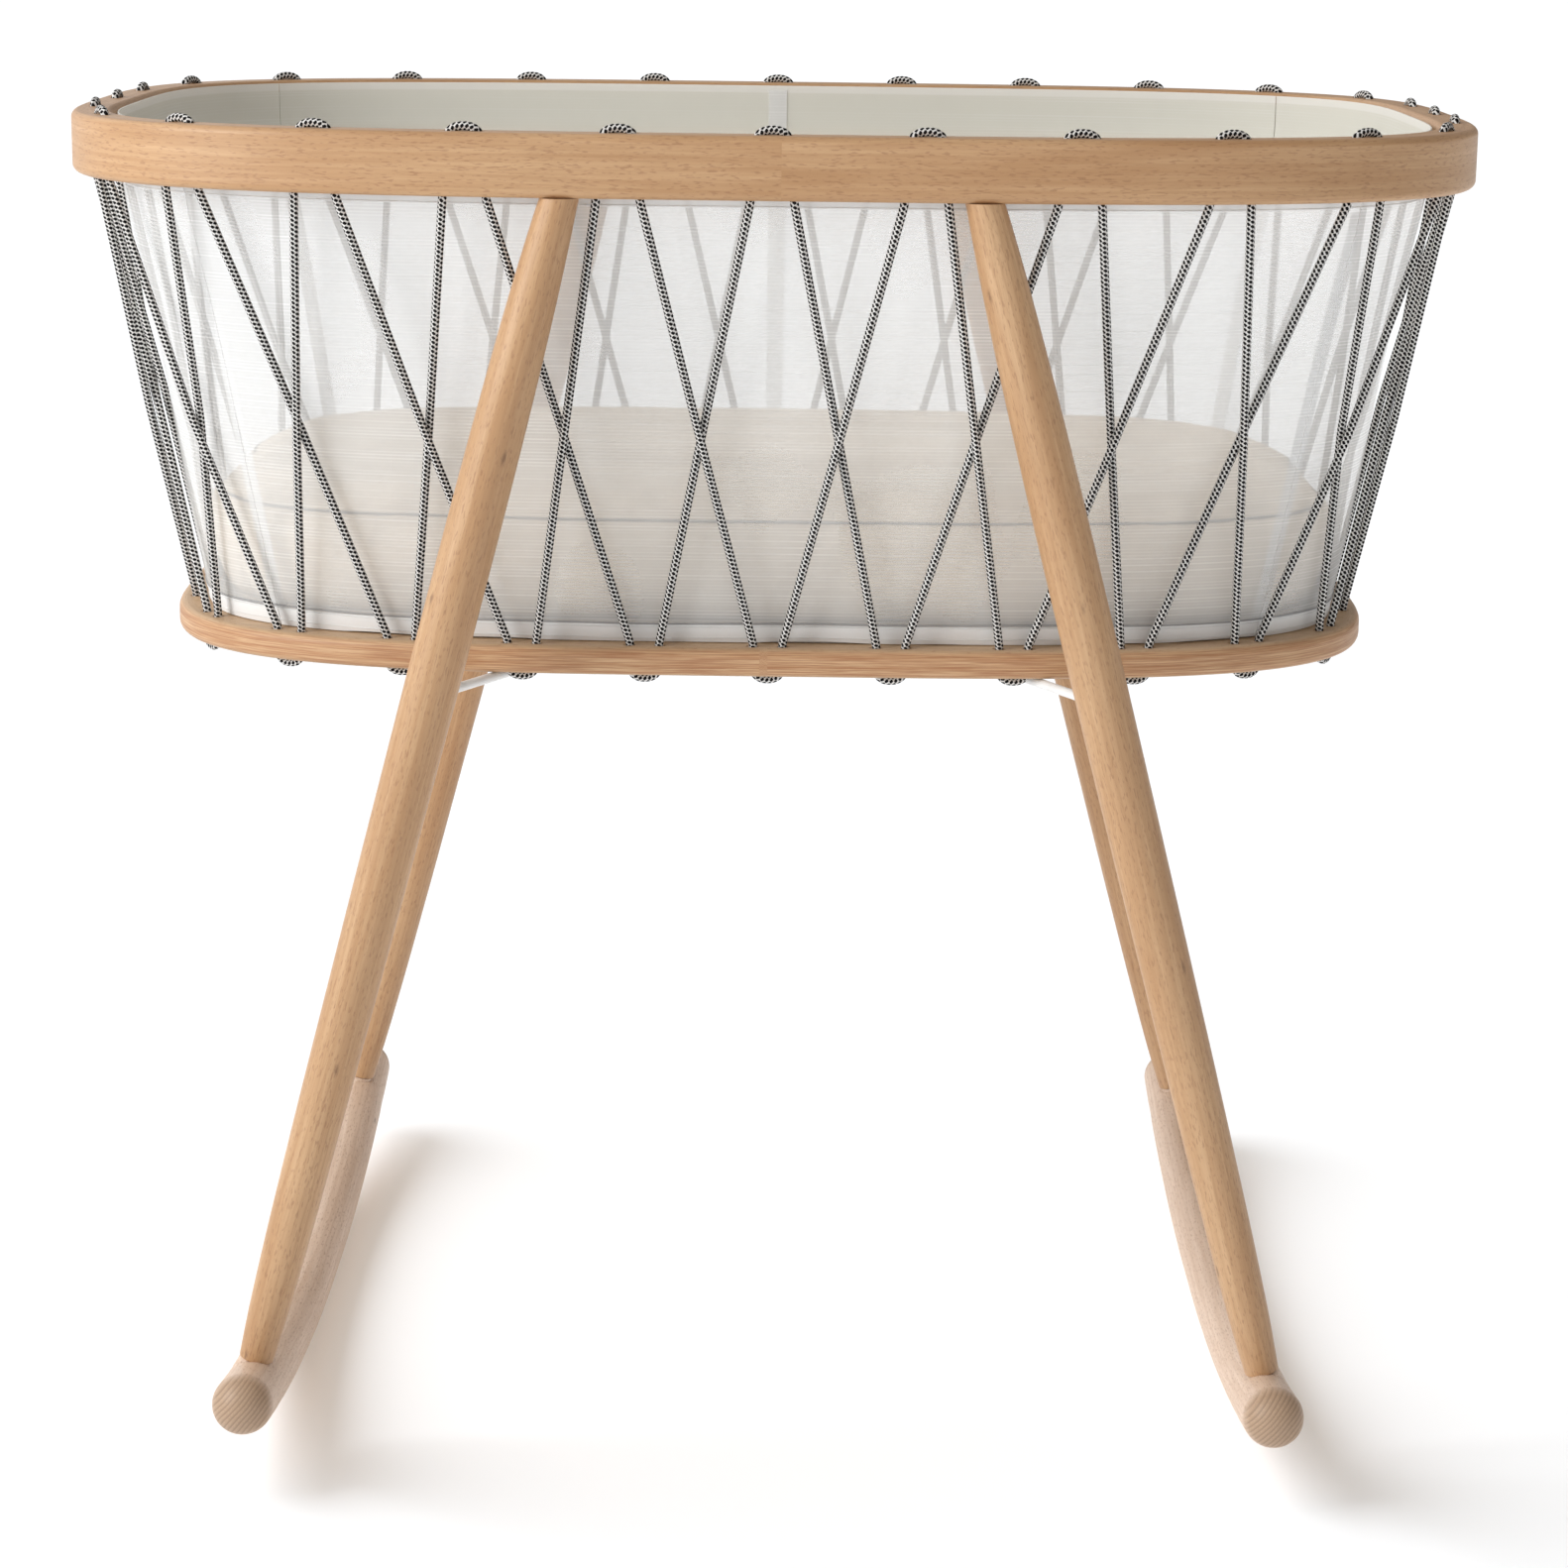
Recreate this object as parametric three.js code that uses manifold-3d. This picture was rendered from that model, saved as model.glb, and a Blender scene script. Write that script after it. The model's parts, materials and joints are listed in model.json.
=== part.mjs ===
// Rocking bassinet: an oval beech rim carried on four splayed legs and two
// curved rockers, with a plywood base hung under the rim on two laced cords, a
// mesh liner bag inside the lacing and a fitted mattress.
//
// Frame: millimetres, +Z up. X runs along the length of the bassinet, Y across
// it (the rocking direction). The origin is on the floor, below the middle.
import * as THREE from 'three';
import { mergeVertices } from 'three/addons/utils/BufferGeometryUtils.js';
import Module from 'manifold-3d';

// ---------------------------------------------------------------- dimensions
const N_EXP = 3.6;            // superellipse exponent shared by rim and base
const LACES = 28;             // hole pairs round the rim and round the base

const RIM_A = 437;            // rim centre line (hole line), half length
const RIM_B = 297.3;          // rim centre line (hole line), half width
const RIM_T = 26;             // rim radial thickness
const RIM_TOP = 834;          // height of the rim's top face
const RIM_H = 38;             // rim depth
const RIM_BOT = RIM_TOP - RIM_H;
const RIM_EDGE = 4;           // worn-round edge, as a chamfer
const RIM_PAIR = 13;          // half spacing of a hole pair under the rim
const RIM_PAIR_TOP = 8.6;     // and on top of it: the holes lean together

const BASE_A = 381.6;         // base hole line, half length
const BASE_B = 234.7;         // base hole line, half width
const BASE_MARGIN = 11;       // hole line to the plate's edge
const BASE_TOP = 515;
const BASE_T = 18;
const BASE_BOT = BASE_TOP - BASE_T;
const BASE_EDGE = 4;
const BASE_PAIR = 9.15;       // half spacing of a hole pair on top of the base
const BASE_PAIR_LOW = 7.6;    // and under it

const CORD_R = 2.6;           // braided cord, 5.2 across
const LACE_HOLE_R = 3.0;      // clear radius of a lacing hole
const CROSS_OFFSET = 2.95;    // each cord stands off by this where two cross

const ROCKER_R = 19;          // rocker rod, 38 across
const ROCKER_X = 320.6;       // rocker centre line from the middle
const ROCKER_HALF = 347.5;    // centre of the rounded end
const ROCKER_RISE = 34;       // how far the ends rise above the middle
const ROCKER_FLAT = 20;       // half length of the flat in the middle

const LEG_TOP = [125.6, 299.5, RIM_BOT];     // |x|, |y|, z
const LEG_FOOT = [319.0, 296.0, 63.3];
// distance along the leg from its top as a share of its length, and diameter
const LEG_PROFILE = [[-0.02, 22.4], [0, 23], [0.03, 25.4], [0.07, 28], [0.14, 31], [0.3, 33.2],
  [0.5, 32.6], [0.8, 29.8], [0.92, 27], [1, 21.6]];
const BOLT_R = 3.9;           // hanger bolts
const BOLT_HOLE_R = 4.2;
const INSERT_R = 6.2;         // threaded inserts in the rim

const BRACKET_R = 3;          // steel rod
const BRACKET_Z = BASE_BOT - 0.3 - BRACKET_R;
const BRACKET_X = 110;        // where the rod runs straight under the base
const TAB_Y = 125;            // screw tabs on the brackets

const LINER_T = 1.5;
const STRIP_T = 1.2;          // hook tape on the rim's inner face
const GAP = 0.3;

const MATTRESS_BOT = BASE_TOP + GAP + LINER_T + 0.5;
const MATTRESS_SEAM_LOW = 527;
const MATTRESS_SEAM_HIGH = 590;
const MATTRESS_TOP = 604;

// ------------------------------------------------------------------ outlines
// Points round a superellipse, counter-clockwise from the middle of the near
// side, with the outward normal at each; s is the distance along it.
function makeOutline(A, B, n = N_EXP) {
  const M = 2880, pts = [];
  for (let i = 0; i <= M; i++) {
    const t = -Math.PI / 2 + (2 * Math.PI * i) / M;
    const c = Math.cos(t), s = Math.sin(t);
    const r = Math.pow(Math.pow(Math.abs(c / A), n) + Math.pow(Math.abs(s / B), n), -1 / n);
    pts.push([r * c, r * s]);
  }
  const d = [0];
  for (let i = 1; i <= M; i++) d.push(d[i - 1] + Math.hypot(pts[i][0] - pts[i - 1][0], pts[i][1] - pts[i - 1][1]));
  const P = d[M];
  function at(s) {
    s = ((s % P) + P) % P;
    let lo = 0, hi = M;
    while (hi - lo > 1) { const m = (lo + hi) >> 1; if (d[m] <= s) lo = m; else hi = m; }
    const f = (s - d[lo]) / (d[hi] - d[lo]);
    const p = [pts[lo][0] + f * (pts[hi][0] - pts[lo][0]), pts[lo][1] + f * (pts[hi][1] - pts[lo][1])];
    const a = pts[(lo - 6 + M) % M], b = pts[(hi + 6) % M];
    const tx = b[0] - a[0], ty = b[1] - a[1], l = Math.hypot(tx, ty);
    return { p, t: [tx / l, ty / l], n: [ty / l, -tx / l] };
  }
  return { P, at };
}
const rimLine = makeOutline(RIM_A, RIM_B);
const baseLine = makeOutline(BASE_A, BASE_B);

function ringAt(line, count, offset, z, shift = 0) {
  const out = [];
  for (let i = 0; i < count; i++) {
    const q = line.at((line.P * (i + shift)) / count);
    out.push([q.p[0] + q.n[0] * offset, q.p[1] + q.n[1] * offset, z]);
  }
  return out;
}

// ------------------------------------------------------------- mesh builders
function solid(vertices, triangles) {
  let vol = 0;
  for (const [a, b, c] of triangles) {
    const p = vertices[a], q = vertices[b], r = vertices[c];
    vol += p[0] * (q[1] * r[2] - q[2] * r[1]) - p[1] * (q[0] * r[2] - q[2] * r[0]) + p[2] * (q[0] * r[1] - q[1] * r[0]);
  }
  const idx = [];
  for (const [a, b, c] of triangles) vol > 0 ? idx.push(a, b, c) : idx.push(a, c, b);
  const g = new THREE.BufferGeometry();
  g.setAttribute('position', new THREE.Float32BufferAttribute(vertices.flat(), 3));
  g.setIndex(idx);
  return g;
}
// Skin over a row of equal rings. closed joins the last ring to the first,
// otherwise each end is capped by a fan round its middle point.
function loft(rings, closed = false) {
  const n = rings[0].length, v = rings.flat(), t = [], m = rings.length;
  for (let j = 0; j < (closed ? m : m - 1); j++) {
    const a = j * n, b = ((j + 1) % m) * n;
    for (let i = 0; i < n; i++) {
      const k = (i + 1) % n;
      t.push([a + i, a + k, b + k], [a + i, b + k, b + i]);
    }
  }
  if (!closed) {
    for (const [j, flip] of [[0, true], [m - 1, false]]) {
      const c = [0, 0, 0];
      for (const p of rings[j]) for (let q = 0; q < 3; q++) c[q] += p[q] / n;
      v.push(c);
      const ci = v.length - 1, a = j * n;
      for (let i = 0; i < n; i++) {
        const k = (i + 1) % n;
        t.push(flip ? [ci, a + k, a + i] : [ci, a + i, a + k]);
      }
    }
  }
  return solid(v, t);
}
// Round bar along a polyline, with mitred sections and parallel transport.
function bar(points, radii, sides, spin = 0) {
  const P = points.map((p) => new THREE.Vector3(...p));
  const m = P.length, rings = [];
  const T = [];
  for (let i = 0; i < m; i++) {
    const a = P[Math.max(0, i - 1)], b = P[Math.min(m - 1, i + 1)];
    if (i === 0 || i === m - 1) T.push(b.clone().sub(a).normalize());
    else T.push(P[i].clone().sub(a).normalize().add(b.clone().sub(P[i]).normalize()).normalize());
  }
  let ref = Math.abs(T[0].z) > 0.9 ? new THREE.Vector3(1, 0, 0) : new THREE.Vector3(0, 0, 1);
  let U = ref.clone().sub(T[0].clone().multiplyScalar(ref.dot(T[0]))).normalize();
  for (let i = 0; i < m; i++) {
    if (i > 0) {
      const q = new THREE.Quaternion().setFromUnitVectors(T[i - 1], T[i]);
      U.applyQuaternion(q);
      U.sub(T[i].clone().multiplyScalar(U.dot(T[i]))).normalize();
    }
    const V = new THREE.Vector3().crossVectors(T[i], U);
    // stretch across the mitre keeps the bar's width through a bend
    let stretch = 1, axis = null;
    if (i > 0 && i < m - 1) {
      const d0 = P[i].clone().sub(P[i - 1]).normalize(), d1 = P[i + 1].clone().sub(P[i]).normalize();
      const c = Math.sqrt((1 + d0.dot(d1)) / 2);
      stretch = Math.min(1 / Math.max(c, 0.5), 1.6);
      axis = d1.clone().sub(d0);
      if (axis.length() > 1e-6) axis.normalize(); else axis = null;
    }
    const r = Array.isArray(radii) ? radii[i] : radii, ring = [];
    for (let k = 0; k < sides; k++) {
      const an = spin + (2 * Math.PI * k) / sides;
      const o = U.clone().multiplyScalar(Math.cos(an) * r).add(V.clone().multiplyScalar(Math.sin(an) * r));
      if (axis) o.add(axis.clone().multiplyScalar(o.dot(axis) * (stretch - 1)));
      ring.push([P[i].x + o.x, P[i].y + o.y, P[i].z + o.z]);
    }
    rings.push(ring);
  }
  return loft(rings);
}

// ---------------------------------------------------------------- cut / join
const wasm = await Module();
wasm.setup();
function toSolid(g) {
  g = g.clone();
  for (const k of Object.keys(g.attributes)) if (k !== 'position') g.deleteAttribute(k);
  g = mergeVertices(g, 1e-5);
  return new wasm.Manifold(new wasm.Mesh({
    numProp: 3,
    vertProperties: new Float32Array(g.attributes.position.array),
    triVerts: new Uint32Array(g.index.array),
  }));
}
function fromSolid(m) {
  const mesh = m.getMesh(), np = mesh.numProp, v = [];
  for (let i = 0; i < mesh.vertProperties.length; i += np) v.push(mesh.vertProperties[i], mesh.vertProperties[i + 1], mesh.vertProperties[i + 2]);
  const g = new THREE.BufferGeometry();
  g.setAttribute('position', new THREE.Float32BufferAttribute(v, 3));
  g.setIndex(Array.from(mesh.triVerts));
  return g;
}
function cut(body, tools) {
  let m = toSolid(body);
  for (const t of tools) m = m.subtract(toSolid(t));
  return fromSolid(m);
}
function join(parts) {
  let m = toSolid(parts[0]);
  for (const t of parts.slice(1)) m = m.add(toSolid(t));
  return fromSolid(m);
}
function mergeSeparate(list) {
  const v = [], idx = [];
  for (const g of list) {
    const o = v.length / 3;
    v.push(...g.attributes.position.array);
    for (const i of g.index.array) idx.push(i + o);
  }
  const g = new THREE.BufferGeometry();
  g.setAttribute('position', new THREE.Float32BufferAttribute(v, 3));
  g.setIndex(idx);
  return g;
}
const clear = (r, sides) => r / Math.cos(Math.PI / sides);   // corner radius that leaves r clear

// ------------------------------------------------------------------ assembly
const root = new THREE.Group();
const mats = {
  beech: new THREE.MeshStandardMaterial({ color: 0xcda67f, roughness: 0.55, metalness: 0 }),
  beech_pale: new THREE.MeshStandardMaterial({ color: 0xe0c4a8, roughness: 0.55, metalness: 0 }),
  ply: new THREE.MeshStandardMaterial({ color: 0xc39466, roughness: 0.6, metalness: 0 }),
  cord: new THREE.MeshStandardMaterial({ color: 0x6d6a66, roughness: 0.85, metalness: 0 }),
  mesh: new THREE.MeshStandardMaterial({ color: 0xf2f1ee, roughness: 0.9, metalness: 0 }),
  tape: new THREE.MeshStandardMaterial({ color: 0xe8e6e0, roughness: 0.95, metalness: 0 }),
  cream: new THREE.MeshStandardMaterial({ color: 0xe9dfd0, roughness: 0.95, metalness: 0 }),
  white_steel: new THREE.MeshStandardMaterial({ color: 0xf4f4f2, roughness: 0.4, metalness: 0.1 }),
  steel: new THREE.MeshStandardMaterial({ color: 0xb9bbbd, roughness: 0.35, metalness: 0.9 }),
  brass: new THREE.MeshStandardMaterial({ color: 0xc9a85a, roughness: 0.35, metalness: 0.9 }),
};
function put(name, geometry, material) {
  const m = new THREE.Mesh(geometry, mats[material]);
  m.name = name;
  root.add(m);
  return m;
}

// Legs: the axis of each, from its top centre to its foot centre
const CORNERS = [['front_left', -1, -1], ['front_right', 1, -1], ['rear_left', -1, 1], ['rear_right', 1, 1]];
const axisOf = (sx, sy) => {
  const top = new THREE.Vector3(sx * LEG_TOP[0], sy * LEG_TOP[1], LEG_TOP[2]);
  const foot = new THREE.Vector3(sx * LEG_FOOT[0], sy * LEG_FOOT[1], LEG_FOOT[2]);
  const dir = foot.clone().sub(top), len = dir.length();
  dir.normalize();
  const on = (d) => top.clone().addScaledVector(dir, d).toArray();      // point d below the top
  return { top, foot, dir, len, on };
};

// Axis of a lacing hole: half spacing h0 at height z0 and h1 at height z1
function lean(line, index, e, z0, h0, z1, h1) {
  const a = line.at((line.P * index) / LACES + e * h0).p, b = line.at((line.P * index) / LACES + e * h1).p;
  return (z) => { const k = (z - z0) / (z1 - z0); return [a[0] + (b[0] - a[0]) * k, a[1] + (b[1] - a[1]) * k, z]; };
}

// ---- top rim: a bent beech ring with 28 pairs of lacing holes
const RIM_STATIONS = 60;
{
  const h = RIM_T / 2, c = RIM_EDGE;
  const section = [[-h + c, RIM_BOT], [h - c, RIM_BOT], [h, RIM_BOT + c], [h, RIM_TOP - c], [h - c, RIM_TOP], [-h + c, RIM_TOP], [-h, RIM_TOP - c], [-h, RIM_BOT + c]];
  const rings = [];
  for (let i = 0; i < RIM_STATIONS; i++) {
    const q = rimLine.at((rimLine.P * i) / RIM_STATIONS);
    rings.push(section.map(([o, z]) => [q.p[0] + q.n[0] * o, q.p[1] + q.n[1] * o, z]));
  }
  const ring = loft(rings, true);
  const holes = [];
  for (let k = 0; k < LACES; k++) for (const e of [-1, 1]) {
    const on = lean(rimLine, k, e, RIM_BOT, RIM_PAIR, RIM_TOP, RIM_PAIR_TOP);
    holes.push(bar([on(RIM_BOT - 8), on(RIM_TOP + 8)], clear(LACE_HOLE_R, 6), 6));
  }
  const sockets = CORNERS.map(([, sx, sy]) => {
    const a = axisOf(sx, sy);
    return bar([a.on(14), a.on(-25)], clear(INSERT_R + GAP, 8), 8);
  });
  put('top_rim', cut(ring, [mergeSeparate(holes), ...sockets]), 'beech');
}

// ---- base plate: plywood with softened edges and 28 pairs of lacing holes
const BRACKETS = [['left', -1], ['right', 1]];
{
  const c = BASE_EDGE, m = BASE_MARGIN, n = 60;
  const plate = loft([ringAt(baseLine, n, m - c, BASE_BOT), ringAt(baseLine, n, m, BASE_BOT + c), ringAt(baseLine, n, m, BASE_TOP - c), ringAt(baseLine, n, m - c, BASE_TOP)]);
  const holes = [];
  for (let k = 0; k < LACES; k++) for (const e of [-1, 1]) {
    const on = lean(baseLine, k, e, BASE_TOP, BASE_PAIR, BASE_BOT, BASE_PAIR_LOW);
    holes.push(bar([on(BASE_BOT - 8), on(BASE_TOP + 8)], clear(LACE_HOLE_R, 6), 6));
  }
  for (const [, sx] of BRACKETS) for (const sy of [-1, 1]) {
    const x = sx * (BRACKET_X - 14), y = sy * TAB_Y;
    holes.push(bar([[x, y, BASE_BOT - 6], [x, y, BASE_BOT + 12.5]], clear(2 + GAP, 6), 6));
  }
  put('base_plate', cut(plate, [mergeSeparate(holes)]), 'ply');
}

// ---- bracket rods: out of one leg, under the base, and into the other leg
function bracketPath(sx) {
  const pts = [];
  for (const sy of [-1, 1]) {
    const a = axisOf(sx, sy);
    const d = (RIM_BOT - BRACKET_Z) / -a.dir.z;
    const p = a.on(d);                                    // on the leg's axis
    const cross = [sx * 170.5, sy * BASE_B, BRACKET_Z];     // clear of the nearest stitches
    const dx = cross[0] - p[0], dy = cross[1] - p[1];
    const k = (sx * (BRACKET_X + 20) - p[0]) / dx;         // bend point near the straight run
    const bend = [p[0] + k * dx, p[1] + k * dy, BRACKET_Z];
    const run = [sx * BRACKET_X, bend[1] - sy * 22, BRACKET_Z];
    const list = [[p[0], p[1], BRACKET_Z], bend, [sx * (BRACKET_X + 4), bend[1] - sy * 10, BRACKET_Z], run];
    if (sy < 0) pts.push(...list); else pts.push(...list.reverse());
  }
  return pts;
}
for (const [side, sx] of BRACKETS) {
  const parts = [bar(bracketPath(sx), BRACKET_R, 8, Math.PI / 8)];
  for (const sy of [-1, 1]) {
    const tab = new THREE.BoxGeometry(25, 16, 2);
    tab.translate(sx * (BRACKET_X - 9.5), sy * TAB_Y, BASE_BOT - GAP - 1);
    const hole = bar([[sx * (BRACKET_X - 14), sy * TAB_Y, BASE_BOT - 8], [sx * (BRACKET_X - 14), sy * TAB_Y, BASE_BOT + 4]], clear(2 + GAP, 6), 6);
    parts.push(cut(tab, [hole]));
  }
  put(side + '_support_bracket', join(parts), 'white_steel');
  for (const [end, sy] of [['front', -1], ['rear', 1]]) {
    const x = sx * (BRACKET_X - 14), y = sy * TAB_Y, z = BASE_BOT - GAP - 2 - GAP;
    const rows = [[3.2, z - 2.4], [4.1, z - 1.6], [4.1, z], [2, z], [2, z + 12], [0.6, z + 14]];
    put(side + '_' + end + '_bracket_screw', loft(rows.map(([r, zz]) => Array.from({ length: 8 }, (_, k) => [x + r * Math.cos(k * Math.PI / 4), y + r * Math.sin(k * Math.PI / 4), zz]))), 'steel');
  }
}

// ---- legs, with sockets for the hanger bolts and for the bracket rods
const LEG_SIDES = 12;
for (const [name, sx, sy] of CORNERS) {
  const a = axisOf(sx, sy);
  const body = bar(LEG_PROFILE.map(([u]) => a.on(u * a.len)), LEG_PROFILE.map(([, d]) => d / 2), LEG_SIDES);
  const lid = new THREE.BoxGeometry(120, 120, 60);
  lid.translate(a.top.x, a.top.y, RIM_BOT - GAP + 30);
  const topHole = bar([a.on(-30), a.on(26)], clear(BOLT_HOLE_R, 8), 8);
  const footHole = bar([a.on(a.len + 10), a.on(a.len - 30)], clear(BOLT_HOLE_R, 8), 8);
  const path = bracketPath(sx), end = sy < 0 ? path[0] : path[path.length - 1], next = sy < 0 ? path[1] : path[path.length - 2];
  const dx = next[0] - end[0], dy = next[1] - end[1], l = Math.hypot(dx, dy);
  const side = bar([[end[0] - (dx / l) * 1.5, end[1] - (dy / l) * 1.5, BRACKET_Z], [end[0] + (dx / l) * 30, end[1] + (dy / l) * 30, BRACKET_Z]], clear(BRACKET_R + GAP, 8), 8, Math.PI / 8);
  put(name + '_leg', cut(body, [lid, topHole, footHole, side]), 'beech');

  // threaded insert in the rim, and the hanger bolt that joins leg and rim
  const insert = bar([a.on(-3.5), a.on(-23)], INSERT_R, 8);
  const bore = bar([a.on(5), a.on(-30)], clear(BOLT_HOLE_R, 8), 8);
  put(name + '_rim_insert', cut(insert, [bore]), 'brass');
  put(name + '_rim_bolt', bar([a.on(24), a.on(22.5), a.on(-20.5), a.on(-22)], [2.8, BOLT_R, BOLT_R, 2.8], 8), 'steel');
  put(name + '_rocker_bolt', bar([a.on(a.len - 28), a.on(a.len - 26.5), a.on(a.len + 17.5), a.on(a.len + 19)], [2.8, BOLT_R, BOLT_R, 2.8], 8), 'steel');
}

// ---- rockers: curved rods with rounded ends and a boss under each leg
function rockerZ(y) {
  const a = Math.max(0, Math.abs(y) - ROCKER_FLAT) / (ROCKER_HALF - ROCKER_FLAT);
  return ROCKER_R + ROCKER_RISE * a * a;
}
for (const [side, sx] of BRACKETS) {
  const pts = [], radii = [], SIDES = 12, corner = ROCKER_R / Math.cos(Math.PI / SIDES);
  const ys = [ROCKER_FLAT, 85, 150, 215, 280, ROCKER_HALF];
  const slope = (rockerZ(ROCKER_HALF) - rockerZ(ROCKER_HALF - 1));
  const u = 1 / Math.hypot(1, slope);
  const tip = [[0.4, 0.92], [0.75, 0.66], [0.97, 0.24]];
  const half = ys.map((y) => [[y, rockerZ(y)], corner]);
  for (const [d, r] of tip) half.push([[ROCKER_HALF + d * ROCKER_R * u, rockerZ(ROCKER_HALF) + d * ROCKER_R * slope * u], corner * r]);
  for (let i = half.length - 1; i >= 0; i--) { pts.push([sx * ROCKER_X, -half[i][0][0], half[i][0][1]]); radii.push(half[i][1]); }
  for (const h of half) { pts.push([sx * ROCKER_X, h[0][0], h[0][1]]); radii.push(h[1]); }
  const rod = bar(pts, radii, SIDES, Math.PI / SIDES);
  const bosses = [], holes = [], spots = [];
  for (const sy of [-1, 1]) {
    const a = axisOf(sx, sy);
    spots.push(bar([a.on(a.len - 16), a.on(a.len + GAP)], 13, 12));      // seat for the leg's foot
    bosses.push(bar([a.on(a.len + GAP), a.on(a.len + 2.5), a.on(a.len + 12)], [10.8, 11.6, 12.5], 12));
    holes.push(bar([a.on(a.len - 8), a.on(a.len + 21)], clear(BOLT_HOLE_R, 8), 8));
  }
  put(side + '_rocker', cut(join([cut(rod, spots), ...bosses]), holes), 'beech_pale');
}

// ---- lacing: one cord through the odd rim pairs, laid over the other
function stitch(line, index, pitch, lowHigh, half, z, up) {
  const [from, to] = [-1, 1].map((e) => lean(line, index, e, ...lowHigh)(z + up * 1.5));
  const pts = [from];
  for (const t of [-half + 2.4, half - 2.4]) {
    const q = line.at(index * pitch + t);
    pts.push([...q.p, z + up * 3.3]);
  }
  return [...pts, to];
}
const RIM_LEAN = [RIM_BOT, RIM_PAIR, RIM_TOP, RIM_PAIR_TOP], BASE_LEAN = [BASE_TOP, BASE_PAIR, BASE_BOT, BASE_PAIR_LOW];
const rp = rimLine.P / LACES, bp = baseLine.P / LACES;
const hole = (line, s, z) => { const q = line.at(s); return [q.p[0], q.p[1], z]; };
// Where the strand from pair k to base pair k + 1 crosses its neighbour, and
// the direction out of the lacing there.
function crossing(k) {
  const v = (p) => new THREE.Vector3(...p);
  const a0 = v(hole(rimLine, k * rp + RIM_PAIR, RIM_BOT - 1)), a1 = v(hole(baseLine, (k + 1) * bp - BASE_PAIR, BASE_TOP + 1));
  const b0 = v(hole(rimLine, (k + 1) * rp - RIM_PAIR, RIM_BOT - 1)), b1 = v(hole(baseLine, k * bp + BASE_PAIR, BASE_TOP + 1));
  const u = a1.clone().sub(a0), w = b1.clone().sub(b0), r = a0.clone().sub(b0);
  const uu = u.dot(u), uw = u.dot(w), ww = w.dot(w), ur = u.dot(r), wr = w.dot(r), den = uu * ww - uw * uw;
  const s = (uw * wr - ww * ur) / den, t = (uu * wr - uw * ur) / den;
  const mid = a0.addScaledVector(u, s).add(b0.addScaledVector(w, t)).multiplyScalar(0.5);
  const n = new THREE.Vector3().crossVectors(u, w).normalize(), o = rimLine.at((k + 0.5) * rp).n;
  if (n.x * o[0] + n.y * o[1] < 0) n.negate();
  return { mid, n };
}
function strandMiddle(index, out) {
  const c = crossing(Math.floor(index));
  return c.mid.addScaledVector(c.n, out * CROSS_OFFSET).toArray();
}
const SLEEVE_DROP = 4.8;
function cordPath(first, out) {
  const pts = [];
  for (const t of [0.5, 4.5]) pts.push(hole(baseLine, first * bp + t, BASE_BOT - SLEEVE_DROP));
  pts.push(hole(baseLine, first * bp + BASE_PAIR_LOW - 0.9, BASE_BOT - 3.7), lean(baseLine, first, 1, ...BASE_LEAN)(BASE_BOT - 0.6));
  let from = hole(baseLine, first * bp + BASE_PAIR, BASE_TOP + 1);
  pts.push(from);
  for (let j = 0; j < LACES / 2; j++) {
    const r = first + 1 + 2 * j, b = r + 1;
    let to = hole(rimLine, r * rp - RIM_PAIR, RIM_BOT - 1);
    pts.push(strandMiddle(r - 0.5, out), to);
    pts.push(...stitch(rimLine, r, rp, RIM_LEAN, RIM_PAIR_TOP, RIM_TOP, 1));
    from = hole(rimLine, r * rp + RIM_PAIR, RIM_BOT - 1);
    to = hole(baseLine, b * bp - BASE_PAIR, BASE_TOP + 1);
    pts.push(from, strandMiddle(r + 0.5, out), to);
    if (j < LACES / 2 - 1) {
      pts.push(...stitch(baseLine, b, bp, BASE_LEAN, BASE_PAIR_LOW, BASE_BOT, -1));
      from = hole(baseLine, b * bp + BASE_PAIR, BASE_TOP + 1);
      pts.push(from);
    }
  }
  const last = first + LACES;
  pts.push(lean(baseLine, last, -1, ...BASE_LEAN)(BASE_BOT - 0.6), hole(baseLine, last * bp - BASE_PAIR_LOW + 0.9, BASE_BOT - 3.7));
  for (const t of [-4.5, -0.5]) pts.push(hole(baseLine, last * bp + t, BASE_BOT - SLEEVE_DROP));
  return pts;
}
for (const [name, first, out] of [['a', 14, 1], ['b', 13, -1]]) {
  put('lacing_cord_' + name, bar(cordPath(first, out), CORD_R, 6), 'cord');
  const q = baseLine.at(first * bp), z = BASE_BOT - SLEEVE_DROP;
  const on = (d) => [q.p[0] + q.t[0] * d, q.p[1] + q.t[1] * d, z];
  put('cord_sleeve_' + name, cut(bar([on(-4), on(4)], 4.1, 10), [bar([on(-8), on(8)], clear(CORD_R + 0.3, 8), 8)]), 'steel');
}

// ---- hook tape on the rim's inner face
const RIM_IN = RIM_T / 2;
function bandRing(line, n, o0, o1, z0, z1) {
  const rings = [];
  for (let i = 0; i < n; i++) {
    const q = line.at((line.P * i) / n);
    rings.push([[o0, z0], [o1, z0], [o1, z1], [o0, z1]].map(([o, z]) => [q.p[0] + q.n[0] * o, q.p[1] + q.n[1] * o, z]));
  }
  return loft(rings, true);
}
put('rim_hook_tape', bandRing(rimLine, RIM_STATIONS, -RIM_IN - GAP - STRIP_T, -RIM_IN - GAP, RIM_BOT + 6, RIM_TOP - 8), 'tape');

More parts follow.
